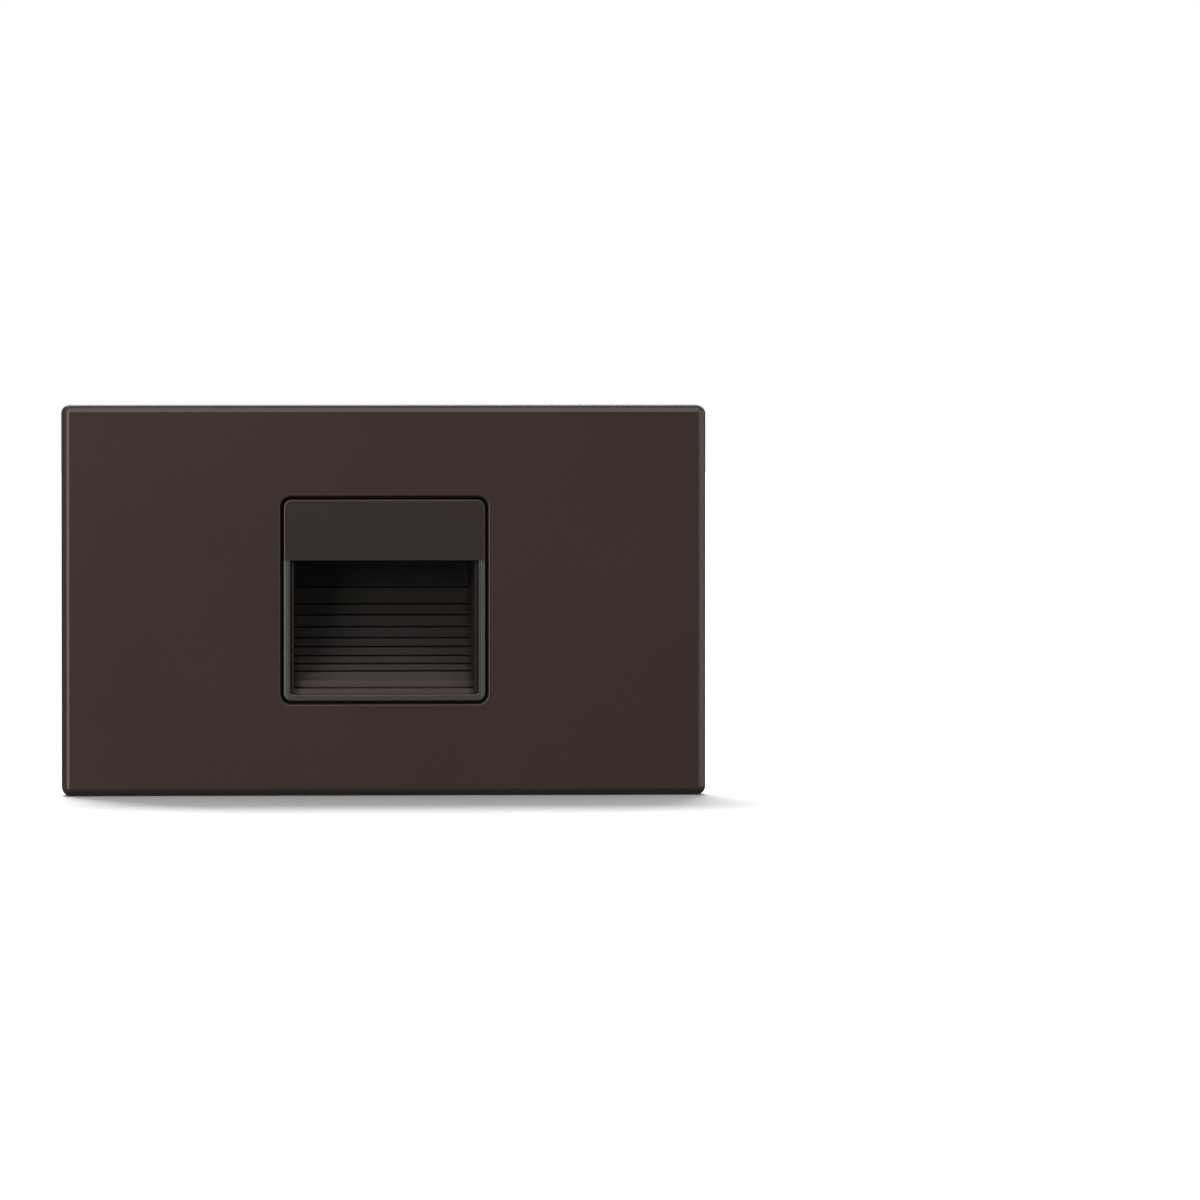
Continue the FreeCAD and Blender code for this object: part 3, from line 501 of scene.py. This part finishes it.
def coil(bm, radius, first_y, last_y):
    """One layer of round wire over the layers below it, which are a plain roll."""
    count = int((last_y - first_y) / wire_pitch)
    steps = count * wire_steps
    middle = radius - wire_radius
    start = Matrix.Translation((middle, first_y + wire_radius, 0))
    section = bmesh.ops.create_circle(
        bm, cap_ends=True, segments=6, radius=wire_radius, matrix=start,
    )["verts"]
    bmesh.ops.spin(
        bm, geom=list(section[0].link_faces), cent=(0, 0, 0), axis=(0, 1, 0), angle=math.tau * count,
        dvec=(0, (last_y - first_y - 2 * wire_radius) / steps, 0), steps=steps,
    )
    roll = [(0, first_y), (middle, first_y), (middle, last_y), (0, last_y)]
    turned(bm, roll, [(0, 0)], wire_steps)


def coil_piece(name, node, radius, first_y, last_y):
    bm = bmesh.new()
    coil(bm, radius, first_y, last_y)
    low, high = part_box(node)
    bmesh.ops.translate(bm, verts=bm.verts, vec=((low.x + high.x) / 2, 0, (low.z + high.z) / 2))
    piece = finished_piece(name, bm, copper)
    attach(piece, "fixture")
    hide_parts(node)


def drum_mesh(low, high):
    bm = bmesh.new()
    radius = (high.x - low.x) / 2
    core = radius - drum_winding_inset - drum_winding_depth
    profile = [(0, low.y)]
    for flange_y in (low.y, high.y - drum_flange):
        for turn in turns(0, quarter, 4):
            inward = drum_edge * (1 - math.sin(turn))
            profile.append((radius - inward, flange_y + drum_edge * (1 - math.cos(turn))))
        for turn in turns(0, quarter, 4):
            inward = drum_edge * (1 - math.cos(turn))
            profile.append((radius - inward, flange_y + drum_flange - drum_edge * (1 - math.sin(turn))))
        if flange_y == low.y:
            profile += [(core, flange_y + drum_flange), (core, high.y - drum_flange)]
    profile.append((0, high.y))
    turned(bm, profile, [((low.x + high.x) / 2, (low.z + high.z) / 2)])
    return bm


winding_low, winding_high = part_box("transformer_winding")
coil_piece(
    "transformer_coil", "transformer_winding", (winding_high.x - winding_low.x) / 2,
    winding_low.y, winding_high.y,
)
inductor_low, inductor_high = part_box("filter_inductor")
coil_piece(
    "inductor_coil", "filter_inductor", (inductor_high.x - inductor_low.x) / 2 - drum_winding_inset,
    inductor_low.y + drum_flange, inductor_high.y - drum_flange,
)
inductor_drum = finished_piece("inductor_drum", drum_mesh(inductor_low, inductor_high), ferrite)
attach(inductor_drum, "fixture")
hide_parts("filter_inductor")


# Rear cover, its seal and the cable inlet
# A flat moulded cover closes the case over a silicone seal. The rubber grommet in its middle takes
# the supply cable.

coat_node("rear_cover", case_plastic)
coat_node("cover_seal", silicone)
coat_node("inlet_grommet", black_rubber)


# Mounting yoke
# A strap of zinc-plated sheet steel, pressed out. The housing is screwed to its back, and it is
# screwed to the wall box in turn.

zinc = Finish("zinc_plate")
zinc_cloud = zinc.noise(0.006, 4.0)
zinc_brush = zinc.noise(0.0003, 2.0, (0.04, 1.0, 1.0))
zinc.surface(
    {
        "Base Color": zinc.mixed(zinc_cloud, (0.62, 0.61, 0.57), (0.78, 0.77, 0.73)),
        "Metallic": 1.0,
        "Roughness": 0.34 + 0.12 * zinc_cloud + 0.06 * zinc_brush,
        "Normal": zinc.relief(zinc_brush, 0.000004),
    }
)
coat_node("mounting_yoke", zinc)


# Bushes and studs
# Four natural nylon bushes snap into the yoke. The faceplate's four turned studs are zinc-plated
# steel and push into them.

nylon = matt_moulding(
    "natural_nylon", dark=(0.62, 0.59, 0.5), light=(0.72, 0.69, 0.6),
    roughness=0.42, grain_size=0.0006, grain_depth=0.00001,
)
coat_node("snap_bushes", nylon)
coat_node("plate_studs", zinc)


# Screws
# Pan head machine screws with a cross recess and a rolled thread. They hold the yoke, the case, the
# boards and the cover, and the two long ones go into the wall box.

black_steel = Finish("black_steel")
black_cloud = black_steel.noise(0.002, 3.0)
black_steel.surface(
    {
        "Base Color": black_steel.mixed(black_cloud, (0.02, 0.02, 0.021), (0.05, 0.05, 0.052)),
        "Metallic": 0.6,
        "Roughness": 0.35 + 0.15 * black_cloud,
    }
)

screw_steps = 32
thread_depth = 0.2
thread_pitch = 0.42
thread_steps = 20
flat_top = 0.64
recess_arm = 0.13
recess_reach = 0.54
recess_taper = 0.4
recess_share = 0.6
crown_share = 0.72
seat_edge = 0.00008
tip_share = 0.35
point_taper = 0.8
ridge_root = 1.2
ridge_width = 0.6
bare_tip_share = 0.2


def corner_places(x, z):
    return [(x, z), (-x, z), (-x, -z), (x, -z)]


def screw_profile(radius, length, head_radius, head_height):
    """The screw's outline from the rim of its flat top to the pole of its tip."""
    top = head_radius * flat_top
    profile = []
    for turn in turns(0, quarter, 8):
        y = -head_height + head_height * crown_share * (1 - math.cos(turn))
        profile.append((top + (head_radius - top) * math.sin(turn), y))
    core = radius * (1 - thread_depth)
    tip = radius * tip_share
    profile += [(head_radius, -seat_edge), (head_radius - seat_edge, 0), (core, 0)]
    return profile + [(core, length - tip), (core - tip * point_taper, length), (0, length)]


def cross_recess(bm, radius, y, depth):
    """Closes the flat top round a cross, which is sunk and narrows to its bottom."""
    top_rim = [edge for edge in bm.edges if edge.is_boundary]
    grid = bmesh.ops.create_grid(bm, x_segments=3, y_segments=3, size=1)["verts"]
    for vert in grid:
        for axis in (0, 1):
            reach = recess_reach if abs(vert.co[axis]) > 0.5 else recess_arm
            vert.co[axis] = math.copysign(reach * radius, vert.co[axis])
    bmesh.ops.rotate(bm, verts=grid, cent=(0, 0, 0), matrix=Matrix.Rotation(quarter, 3, "X"))
    bmesh.ops.translate(bm, verts=grid, vec=(0, y, 0))
    faces = dict.fromkeys(face for vert in grid for face in vert.link_faces)
    corner = [face for face in faces if min(map(abs, face.calc_center_median().xz)) > recess_arm * radius]
    cross = [face for face in faces if face not in corner]
    bmesh.ops.delete(bm, geom=corner, context="FACES")
    outer = dict.fromkeys(edge for face in cross for edge in face.edges if edge.is_boundary)
    bmesh.ops.triangle_fill(bm, edges=top_rim + list(outer), use_beauty=True)
    sunk = bmesh.ops.extrude_face_region(bm, geom=cross)["geom"]
    bmesh.ops.delete(bm, geom=cross, context="FACES")
    bottom = [item for item in sunk if isinstance(item, bmesh.types.BMVert)]
    bmesh.ops.translate(bm, verts=bottom, vec=(0, depth, 0))
    bmesh.ops.scale(bm, verts=bottom, vec=(recess_taper, 1, recess_taper))


def thread_ridge(bm, radius, first_y, last_y):
    """A ridge of three edges wound round the shank. It fades into the core at both ends."""
    pitch = radius * thread_pitch
    count = int((last_y - first_y) / pitch * thread_steps)
    core = radius * (1 - thread_depth * ridge_root)
    ridge = [(core, 0), (radius, pitch * ridge_width / 2), (core, pitch * ridge_width)]
    verts = [bm.verts.new((place, first_y + rise, 0)) for place, rise in ridge]
    bmesh.ops.spin(
        bm, geom=[bm.faces.new(verts)], cent=(0, 0, 0), axis=(0, 1, 0),
        dvec=(0, (last_y - first_y - pitch) / count, 0), angle=math.tau * count / thread_steps, steps=count,
    )


def screw_mesh(radius, length, head_radius, head_height, thread_start):
    bm = bmesh.new()
    turned(bm, screw_profile(radius, length, head_radius, head_height), [(0, 0)], screw_steps)
    cross_recess(bm, head_radius, -head_height, head_height * recess_share)
    thread_ridge(bm, radius, thread_start, length - radius * bare_tip_share)
    bmesh.ops.remove_doubles(bm, verts=bm.verts, dist=weld_distance)
    bmesh.ops.recalc_face_normals(bm, faces=bm.faces)
    mesh = bpy.data.meshes.new("one_screw")
    bm.to_mesh(mesh)
    bm.free()
    return mesh


def screws(node, finish, sizes, thread_start, placed):
    """Sets one screw at each place, which is a matrix, and replaces the node with the set."""
    one = screw_mesh(*sizes, thread_start)
    bm = bmesh.new()
    for matrix in placed:
        known = len(bm.verts)
        bm.from_mesh(one)
        bmesh.ops.transform(bm, matrix=matrix, verts=bm.verts[known:])
    bpy.data.meshes.remove(one)
    piece = finished_piece(node + "_threaded", bm, finish)
    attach(piece, "fixture")
    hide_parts(node)


def facing_front(places, y):
    return [Matrix.Translation((x, y, z)) for x, z in places]


def facing_back(places, y):
    half_turn = Matrix.Rotation(math.pi, 4, "Z")
    return [Matrix.Translation((x, y, z)) @ half_turn for x, z in places]


def screw_corners(node, head_radius):
    low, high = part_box(node)
    return corner_places(high.x - head_radius, high.z - head_radius)


# Radius and length of the shank, radius and height of the head
case_screw = (0.00125, 0.007, 0.00225, 0.0017)
yoke_screw = (0.00125, 0.007, 0.00225, 0.0017)
cover_screw = (0.00125, 0.01, 0.00225, 0.0017)
board_screw = (0.001, 0.0042, 0.0019, 0.0015)
led_screw = (0.001, 0.0046, 0.0019, 0.0015)
box_screw = (0.00175, 0.019, 0.0034, 0.0022)
box_thread_start = 0.0012
small_thread_start = 0.0003
yoke_front_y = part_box("mounting_yoke")[0].y
box_screw_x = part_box("box_screws")[1].x - box_screw[2]
board_screw_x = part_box("driver_board_screws")[1].x - board_screw[2]
board_screw_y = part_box("driver_board_screws")[1].y - board_screw[3]
case_screw_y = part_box("case_screws")[1].y - case_screw[3]
cover_screw_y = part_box("cover_screws")[1].y - cover_screw[3]
led_low, led_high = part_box("led_board_screws")
led_screw_x = led_high.x - led_screw[2]
led_screw_y = (led_low.y + led_high.y) / 2
led_seat_z = led_low.z + led_screw[3]
head_down = Matrix.Rotation(quarter, 4, "X")

screws(
    "box_screws", zinc, box_screw, box_thread_start,
    facing_front([(box_screw_x, 0), (-box_screw_x, 0)], yoke_front_y),
)
screws(
    "yoke_screws", zinc, yoke_screw, small_thread_start,
    facing_front(screw_corners("yoke_screws", yoke_screw[2]), yoke_front_y),
)
screws(
    "case_screws", zinc, case_screw, small_thread_start,
    facing_back(screw_corners("case_screws", case_screw[2]), case_screw_y),
)
screws(
    "cover_screws", black_steel, cover_screw, small_thread_start,
    facing_back(screw_corners("cover_screws", cover_screw[2]), cover_screw_y),
)
screws(
    "driver_board_screws", zinc, board_screw, small_thread_start,
    facing_back([(board_screw_x, 0), (-board_screw_x, 0)], board_screw_y),
)
screws(
    "led_board_screws", zinc, led_screw, small_thread_start,
    [Matrix.Translation((side * led_screw_x, led_screw_y, led_seat_z)) @ head_down for side in (1, -1)],
)


# Ground screw
# A green hexagon screw for the earth wire. It goes through the yoke from behind, so its thread
# stands out in front.

green_steel = Finish("green_steel")
green_cloud = green_steel.noise(0.002, 3.0)
green_steel.surface(
    {
        "Base Color": green_steel.mixed(green_cloud, (0.03, 0.2, 0.07), (0.06, 0.32, 0.12)),
        "Metallic": 0.8,
        "Roughness": 0.3 + 0.15 * green_cloud,
    }
)

ground_low, ground_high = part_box("ground_screw")
ground_radius = 0.002
ground_corner_radius = (ground_high.x - ground_low.x) / 2
ground_edge = 0.00025
slot_half_length = 0.0028
slot_half_width = 0.0003
slot_depth = 0.0008
ground_tip_share = 0.3
shank_root_y = 0.0005
thread_end_gap = 0.0001
flatness_limit = 0.000001


def hexagon_head(bm, radius, height):
    """A bevelled hexagon on the plane y = 0, with two corners on X and a slot in its back."""
    corner_on_x = Matrix.Rotation(quarter, 4, "X") @ Matrix.Rotation(quarter, 4, "Z")
    cone = bmesh.ops.create_cone(
        bm, cap_ends=True, segments=6, radius1=radius, radius2=radius, depth=height,
        matrix=Matrix.Translation((0, height / 2, 0)) @ corner_on_x,
    )["verts"]
    edges = list(dict.fromkeys(edge for vert in cone for edge in vert.link_edges))
    bmesh.ops.bevel(
        bm, geom=edges, offset=ground_edge, offset_type="OFFSET", segments=3, profile=0.5,
        affect="EDGES", material=-1,
    )
    back = max(bm.faces, key=lambda face: face.calc_center_median().y)
    geom = [back] + list(back.edges) + list(back.verts)
    for axis, half in ((0, slot_half_length), (2, slot_half_width)):
        for side in (1, -1):
            normal = [0, 0, 0]
            normal[axis] = side
            place = [0, 0, 0]
            place[axis] = side * half
            geom = bmesh.ops.bisect_plane(bm, geom=geom, plane_co=place, plane_no=normal)["geom"]
    back_faces = [face for face in bm.faces if face.calc_center_median().y > height - flatness_limit]
    middle = min(back_faces, key=lambda face: face.calc_center_median().xz.length)
    sunk = bmesh.ops.extrude_face_region(bm, geom=[middle])["geom"]
    bmesh.ops.delete(bm, geom=[middle], context="FACES")
    bottom = [item for item in sunk if isinstance(item, bmesh.types.BMVert)]
    bmesh.ops.translate(bm, verts=bottom, vec=(0, -slot_depth, 0))


def ground_screw_mesh():
    bm = bmesh.new()
    hexagon_head(bm, ground_corner_radius, ground_high.y)
    core = ground_radius * (1 - thread_depth)
    length = -ground_low.y
    tip = ground_radius * ground_tip_share
    shank = [(0, shank_root_y), (core, shank_root_y), (core, tip - length)]
    shank += [(core - tip * point_taper, -length), (0, -length)]
    turned(bm, shank, [(0, 0)], screw_steps)
    thread_ridge(bm, ground_radius, thread_end_gap - length, 0)
    place = ((ground_low.x + ground_high.x) / 2, 0, (ground_low.z + ground_high.z) / 2)
    bmesh.ops.translate(bm, verts=bm.verts, vec=place)
    return bm


ground_screw = finished_piece("ground_screw_threaded", ground_screw_mesh(), green_steel)
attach(ground_screw, "fixture")
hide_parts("ground_screw")


# Nose seal
# A square ring of moulded black rubber. It sits on the yoke round the nose and presses two soft
# lips against the plate.

seal_low, seal_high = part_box("head_gasket")
seal_width = 0.002
seal_lip_radius = seal_width / 4
seal_outer_radius = 0.002
seal_inner_radius = 0.0014
corner_segments = 10
flat_pair_depth = 0.00001


def outline(bm, half_x, half_z, y, radius):
    """The edges of a rectangle with round corners, square to Y."""
    upright = Matrix.Translation((0, y, 0)) @ Matrix.Rotation(quarter, 4, "X")
    at = upright @ Matrix.Diagonal((half_x, half_z, 1, 1))
    corners = bmesh.ops.create_grid(bm, x_segments=1, y_segments=1, size=1, matrix=at)["verts"]
    rounded = bmesh.ops.bevel(
        bm, geom=corners, offset=radius, offset_type="OFFSET", segments=corner_segments,
        profile=0.5, affect="VERTICES", material=-1,
    )
    edges = dict.fromkeys(edge for vert in rounded["verts"] for edge in vert.link_edges)
    bmesh.ops.delete(bm, geom=list(bm.faces), context="FACES_ONLY")
    return list(edges)


def bridged(bm, outlines):
    """Skins a closed ring of outlines, the last one joined to the first."""
    for first, second in zip(outlines, outlines[1:] + outlines[:1]):
        depths = [vert.co.y for edge in first + second for vert in edge.verts]
        if max(depths) - min(depths) < flat_pair_depth:
            bmesh.ops.triangle_fill(bm, edges=first + second, use_beauty=True)
        else:
            bmesh.ops.bridge_loops(bm, edges=first + second)


def nose_seal_mesh():
    bm = bmesh.new()
    half = seal_high.x
    lips = []
    outer_lip = half - seal_lip_radius
    inner_lip = half - seal_width + seal_lip_radius
    lip_turns = turns(0, math.pi, 10)
    for centre, angles in ((outer_lip, lip_turns), (inner_lip, lip_turns[1:])):
        for turn in angles:
            rise = seal_lip_radius * (1 - math.sin(turn))
            lips.append((centre + seal_lip_radius * math.cos(turn), seal_low.y + rise))
    sides = [(half, seal_high.y)] + lips + [(half - seal_width, seal_high.y)]
    rings = []
    for reach, y in sides:
        share = (half - reach) / seal_width
        radius = seal_outer_radius + (seal_inner_radius - seal_outer_radius) * share
        rings.append(outline(bm, reach, reach, y, radius))
    bridged(bm, rings)
    return bm


nose_seal = finished_piece("nose_seal", nose_seal_mesh(), black_rubber)
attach(nose_seal, "fixture")
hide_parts("head_gasket")


# Faceplate
# A zinc die casting with a soft rounded rim and a square opening for the nose. It has no visible
# screws: four studs in bosses on its back push into the yoke's bushes.

plate_low, plate_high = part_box("faceplate")
plate_wall = 0.002
plate_corner_radius = 0.0016
plate_inner_corner_radius = 0.0008
rim_radius = 0.0013
rim_start_angle = math.radians(18)
opening_half = 0.0189
opening_radius = 0.002
opening_edge_radius = 0.00025
rim_segments = 12
edge_segments = 5
crease_margin = 0.02

stud_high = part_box("plate_studs")[1]
stud_radius = 0.0016
stud_places = corner_places(stud_high.x - stud_radius, stud_high.z - stud_radius)
boss_radius = 0.003
boss_root = 0.0007
boss_sunk = 0.0004
boss_edge = 0.0002
boss_back_y = -0.003
boss_hole_depth = 0.0015


def boss_profile():
    """A stud's boss from its pole inside the plate, over its root and edge, down into the hole."""
    plate_back_y = plate_low.y + plate_wall
    sunk_y = plate_back_y - boss_sunk
    profile = [(0, sunk_y), (boss_radius + boss_root, sunk_y)]
    for turn in turns(0, quarter, 6):
        out = boss_root * (1 - math.sin(turn))
        profile.append((boss_radius + out, plate_back_y + boss_root * (1 - math.cos(turn))))
    for turn in turns(0, quarter, 4):
        inward = boss_edge * (1 - math.cos(turn))
        profile.append((boss_radius - inward, boss_back_y - boss_edge * (1 - math.sin(turn))))
    hole_y = boss_back_y - boss_hole_depth
    return profile + [(stud_radius, boss_back_y), (stud_radius, hole_y), (0, hole_y)]


def faceplate_mesh():
    bm = bmesh.new()
    half_x = plate_high.x
    half_z = plate_high.z
    face_y = plate_low.y
    sweep = rim_radius / (1 - math.sin(rim_start_angle))
    rings = [outline(bm, half_x, half_z, 0, plate_corner_radius)]
    for turn in turns(quarter, rim_start_angle, rim_segments):
        inset = sweep * (1 - math.sin(turn))
        y = face_y + sweep * (math.cos(rim_start_angle) - math.cos(turn))
        rings.append(outline(bm, half_x - inset, half_z - inset, y, plate_corner_radius - inset))
    for turn in turns(0, quarter, edge_segments):
        spread = opening_edge_radius * (1 - math.sin(turn))
        y = face_y + opening_edge_radius * (1 - math.cos(turn))
        half = opening_half + spread
        rings.append(outline(bm, half, half, y, opening_radius + spread))
    back_y = face_y + plate_wall
    rings.append(outline(bm, opening_half, opening_half, back_y, opening_radius))
    inner_x = half_x - plate_wall
    inner_z = half_z - plate_wall
    rings.append(outline(bm, inner_x, inner_z, back_y, plate_inner_corner_radius))
    rings.append(outline(bm, inner_x, inner_z, 0, plate_inner_corner_radius))
    bridged(bm, rings)
    turned(bm, boss_profile(), stud_places)
    return bm


paint_deep = (0.0442, 0.0305, 0.0275)
paint_light = (0.0538, 0.0378, 0.0345)
paint_peel_depth = 0.000004
rim_crease = rim_start_angle - crease_margin
bronze_paint = bronze_coat("bronze_paint", paint_peel_depth, paint_deep, paint_light)
faceplate = finished_piece("painted_faceplate", faceplate_mesh(), bronze_paint, rim_crease)
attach(faceplate, "cover_plate")
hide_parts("faceplate")


# Foam seal
# A die-cut ring of black closed-cell foam lies against the plate's inner wall. Its cut sides bulge
# a little and its edges are pinched by the die.

foam_low, foam_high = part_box("foam_gasket")
foam_width = 0.003
foam_bulge = 0.00015
foam_edge = 0.0007
foam_corner_radius = 0.0008
foam_cells = 3500.0


def foam_mesh():
    bm = bmesh.new()
    middle_y = (foam_low.y + foam_high.y) / 2
    half_depth = (foam_high.y - foam_low.y) / 2
    rings = []
    for side in (1, -1):
        wall = 0 if side == 1 else foam_width
        for turn in turns(-quarter * side, quarter * side, 16):
            towards_edge = 1 - abs(math.cos(turn))
            pinch = foam_edge * towards_edge ** 3 + foam_bulge * towards_edge
            inset = wall + side * pinch
            y = middle_y + half_depth * math.sin(turn)
            rings.append(outline(bm, foam_high.x - inset, foam_high.z - inset, y, foam_corner_radius))
    bridged(bm, rings)
    return bm


foam = Finish("foam")
cells = foam.node("ShaderNodeTexVoronoi", {}, {"Vector": foam.place, "Scale": foam_cells})
clumps = foam.noise(0.0012, 3.0)
foam.surface(
    {
        "Base Color": foam.mixed(0.6 * cells + 0.4 * clumps, (0.008, 0.008, 0.008), (0.05, 0.05, 0.05)),
        "Roughness": 0.9 + 0.08 * clumps,
        "Normal": foam.relief(cells + 0.6 * clumps, 0.00012),
    }
)
foam_ring = finished_piece("foam_ring", foam_mesh(), foam)
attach(foam_ring, "cover_plate")
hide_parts("foam_gasket")


# Floor
# A wide sheet of pale matt paper that the plate's lower edge stands on. It isn't part of the
# object.

floor_half = 4.0
floor_bm = bmesh.new()
bmesh.ops.create_grid(
    floor_bm, x_segments=8, y_segments=8, size=floor_half, matrix=Matrix.Translation((0, 0, plate_low.z))
)
floor_mesh = bpy.data.meshes.new("floor")
floor_bm.to_mesh(floor_mesh)
floor_bm.free()
floor = bpy.data.objects.new("floor", floor_mesh)
bpy.context.scene.collection.objects.link(floor)
paper = Finish("paper")
fibres = paper.noise(0.02, 3.0)
paper.surface({"Base Color": paper.mixed(fibres, (0.88, 0.88, 0.88), (0.9, 0.9, 0.9)), "Roughness": 0.9})
floor_mesh.materials.append(paper.material)


# Light and camera
# Soft lamps stand above, left and right in front of the light, with a weak one behind. Two sun
# lamps light only the floor. The camera looks from a little to the left and above.

world_glow = 0.1
world_seen = 1.0
world = bpy.data.worlds.new("studio")
bpy.context.scene.world = world
world.use_nodes = True
world_tree = world.node_tree
seen = world_tree.nodes.new("ShaderNodeLightPath").outputs["Is Camera Ray"]
strength = world_tree.nodes.new("ShaderNodeMapRange")
world_tree.links.new(seen, strength.inputs["Value"])
strength.inputs["To Min"].default_value = world_glow
strength.inputs["To Max"].default_value = world_seen
backdrop = world_tree.nodes["Background"]
backdrop.inputs["Color"].default_value = (1, 1, 1, 1)
world_tree.links.new(strength.outputs["Result"], backdrop.inputs["Strength"])

floor.visible_diffuse = False
floor.visible_glossy = False


def placed_lamp(name, lamp, place, link_state):
    """Points a lamp at the object. The lamp lights only the floor, or all but the floor."""
    holder = bpy.data.objects.new(name, lamp)
    holder.location = place
    holder.rotation_euler = (-Vector(place)).to_track_quat("-Z", "Y").to_euler()
    bpy.context.scene.collection.objects.link(holder)
    lit = bpy.data.collections.new(name + "_lit")
    lit.objects.link(floor)
    lit.collection_objects[0].light_linking.link_state = link_state
    holder.light_linking.receiver_collection = lit


def soft_lamp(name, place, width, height, radiance):
    lamp = bpy.data.lights.new(name, "AREA")
    lamp.shape = "RECTANGLE"
    lamp.size = width
    lamp.size_y = height
    lamp.energy = radiance * math.pi * width * height
    placed_lamp(name, lamp, place, "EXCLUDE")


def floor_sun(name, direction, spread, energy):
    lamp = bpy.data.lights.new(name, "SUN")
    lamp.angle = math.radians(spread)
    lamp.energy = energy
    placed_lamp(name, lamp, direction, "INCLUDE")


floor_sun("floor_key", direction=(-0.1, 1, 1.05), spread=32, energy=4.1)
floor_sun("floor_fill", direction=(0, 0, 1), spread=160, energy=1.4)

soft_lamp("top_box", place=(0, -0.55, 0.95), width=1.6, height=1.2, radiance=1.5)
soft_lamp("left_box", place=(-0.33, -0.335, 0.1), width=0.36, height=0.6, radiance=3.15)
soft_lamp("right_box", place=(0.95, -0.3, 0.2), width=1.6, height=0.8, radiance=1.25)
soft_lamp("back_box", place=(0.3, 1.3, 0.8), width=1.5, height=1.0, radiance=2.5)

bpy.context.scene.view_settings.view_transform = "Standard"

picture_size = 1200
pixels_per_metre = 5508
plate_middle_px = (384.5, 600.4)
camera_azimuth = math.radians(-3.5)
camera_elevation = math.radians(1.5)
camera_distance = 2.0

plate_middle = Vector((0, plate_low.y, 0))
back = Vector(
    (
        math.sin(camera_azimuth) * math.cos(camera_elevation),
        -math.cos(camera_azimuth) * math.cos(camera_elevation),
        math.sin(camera_elevation),
    )
)
facing = (-back).to_track_quat("-Z", "Y")
right = facing @ Vector((1, 0, 0))
up = facing @ Vector((0, 1, 0))
picture_width = picture_size / pixels_per_metre
lens_data = bpy.data.cameras.new("camera")
lens_data.lens = lens_data.sensor_width * camera_distance / picture_width
lens_data.clip_end = 20
camera = bpy.data.objects.new("camera", lens_data)
to_right = (picture_size / 2 - plate_middle_px[0]) / pixels_per_metre
upward_shift = (plate_middle_px[1] - picture_size / 2) / pixels_per_metre
camera.location = plate_middle + back * camera_distance + right * to_right + up * upward_shift
camera.rotation_mode = "QUATERNION"
camera.rotation_quaternion = facing
bpy.context.scene.collection.objects.link(camera)
bpy.context.scene.camera = camera
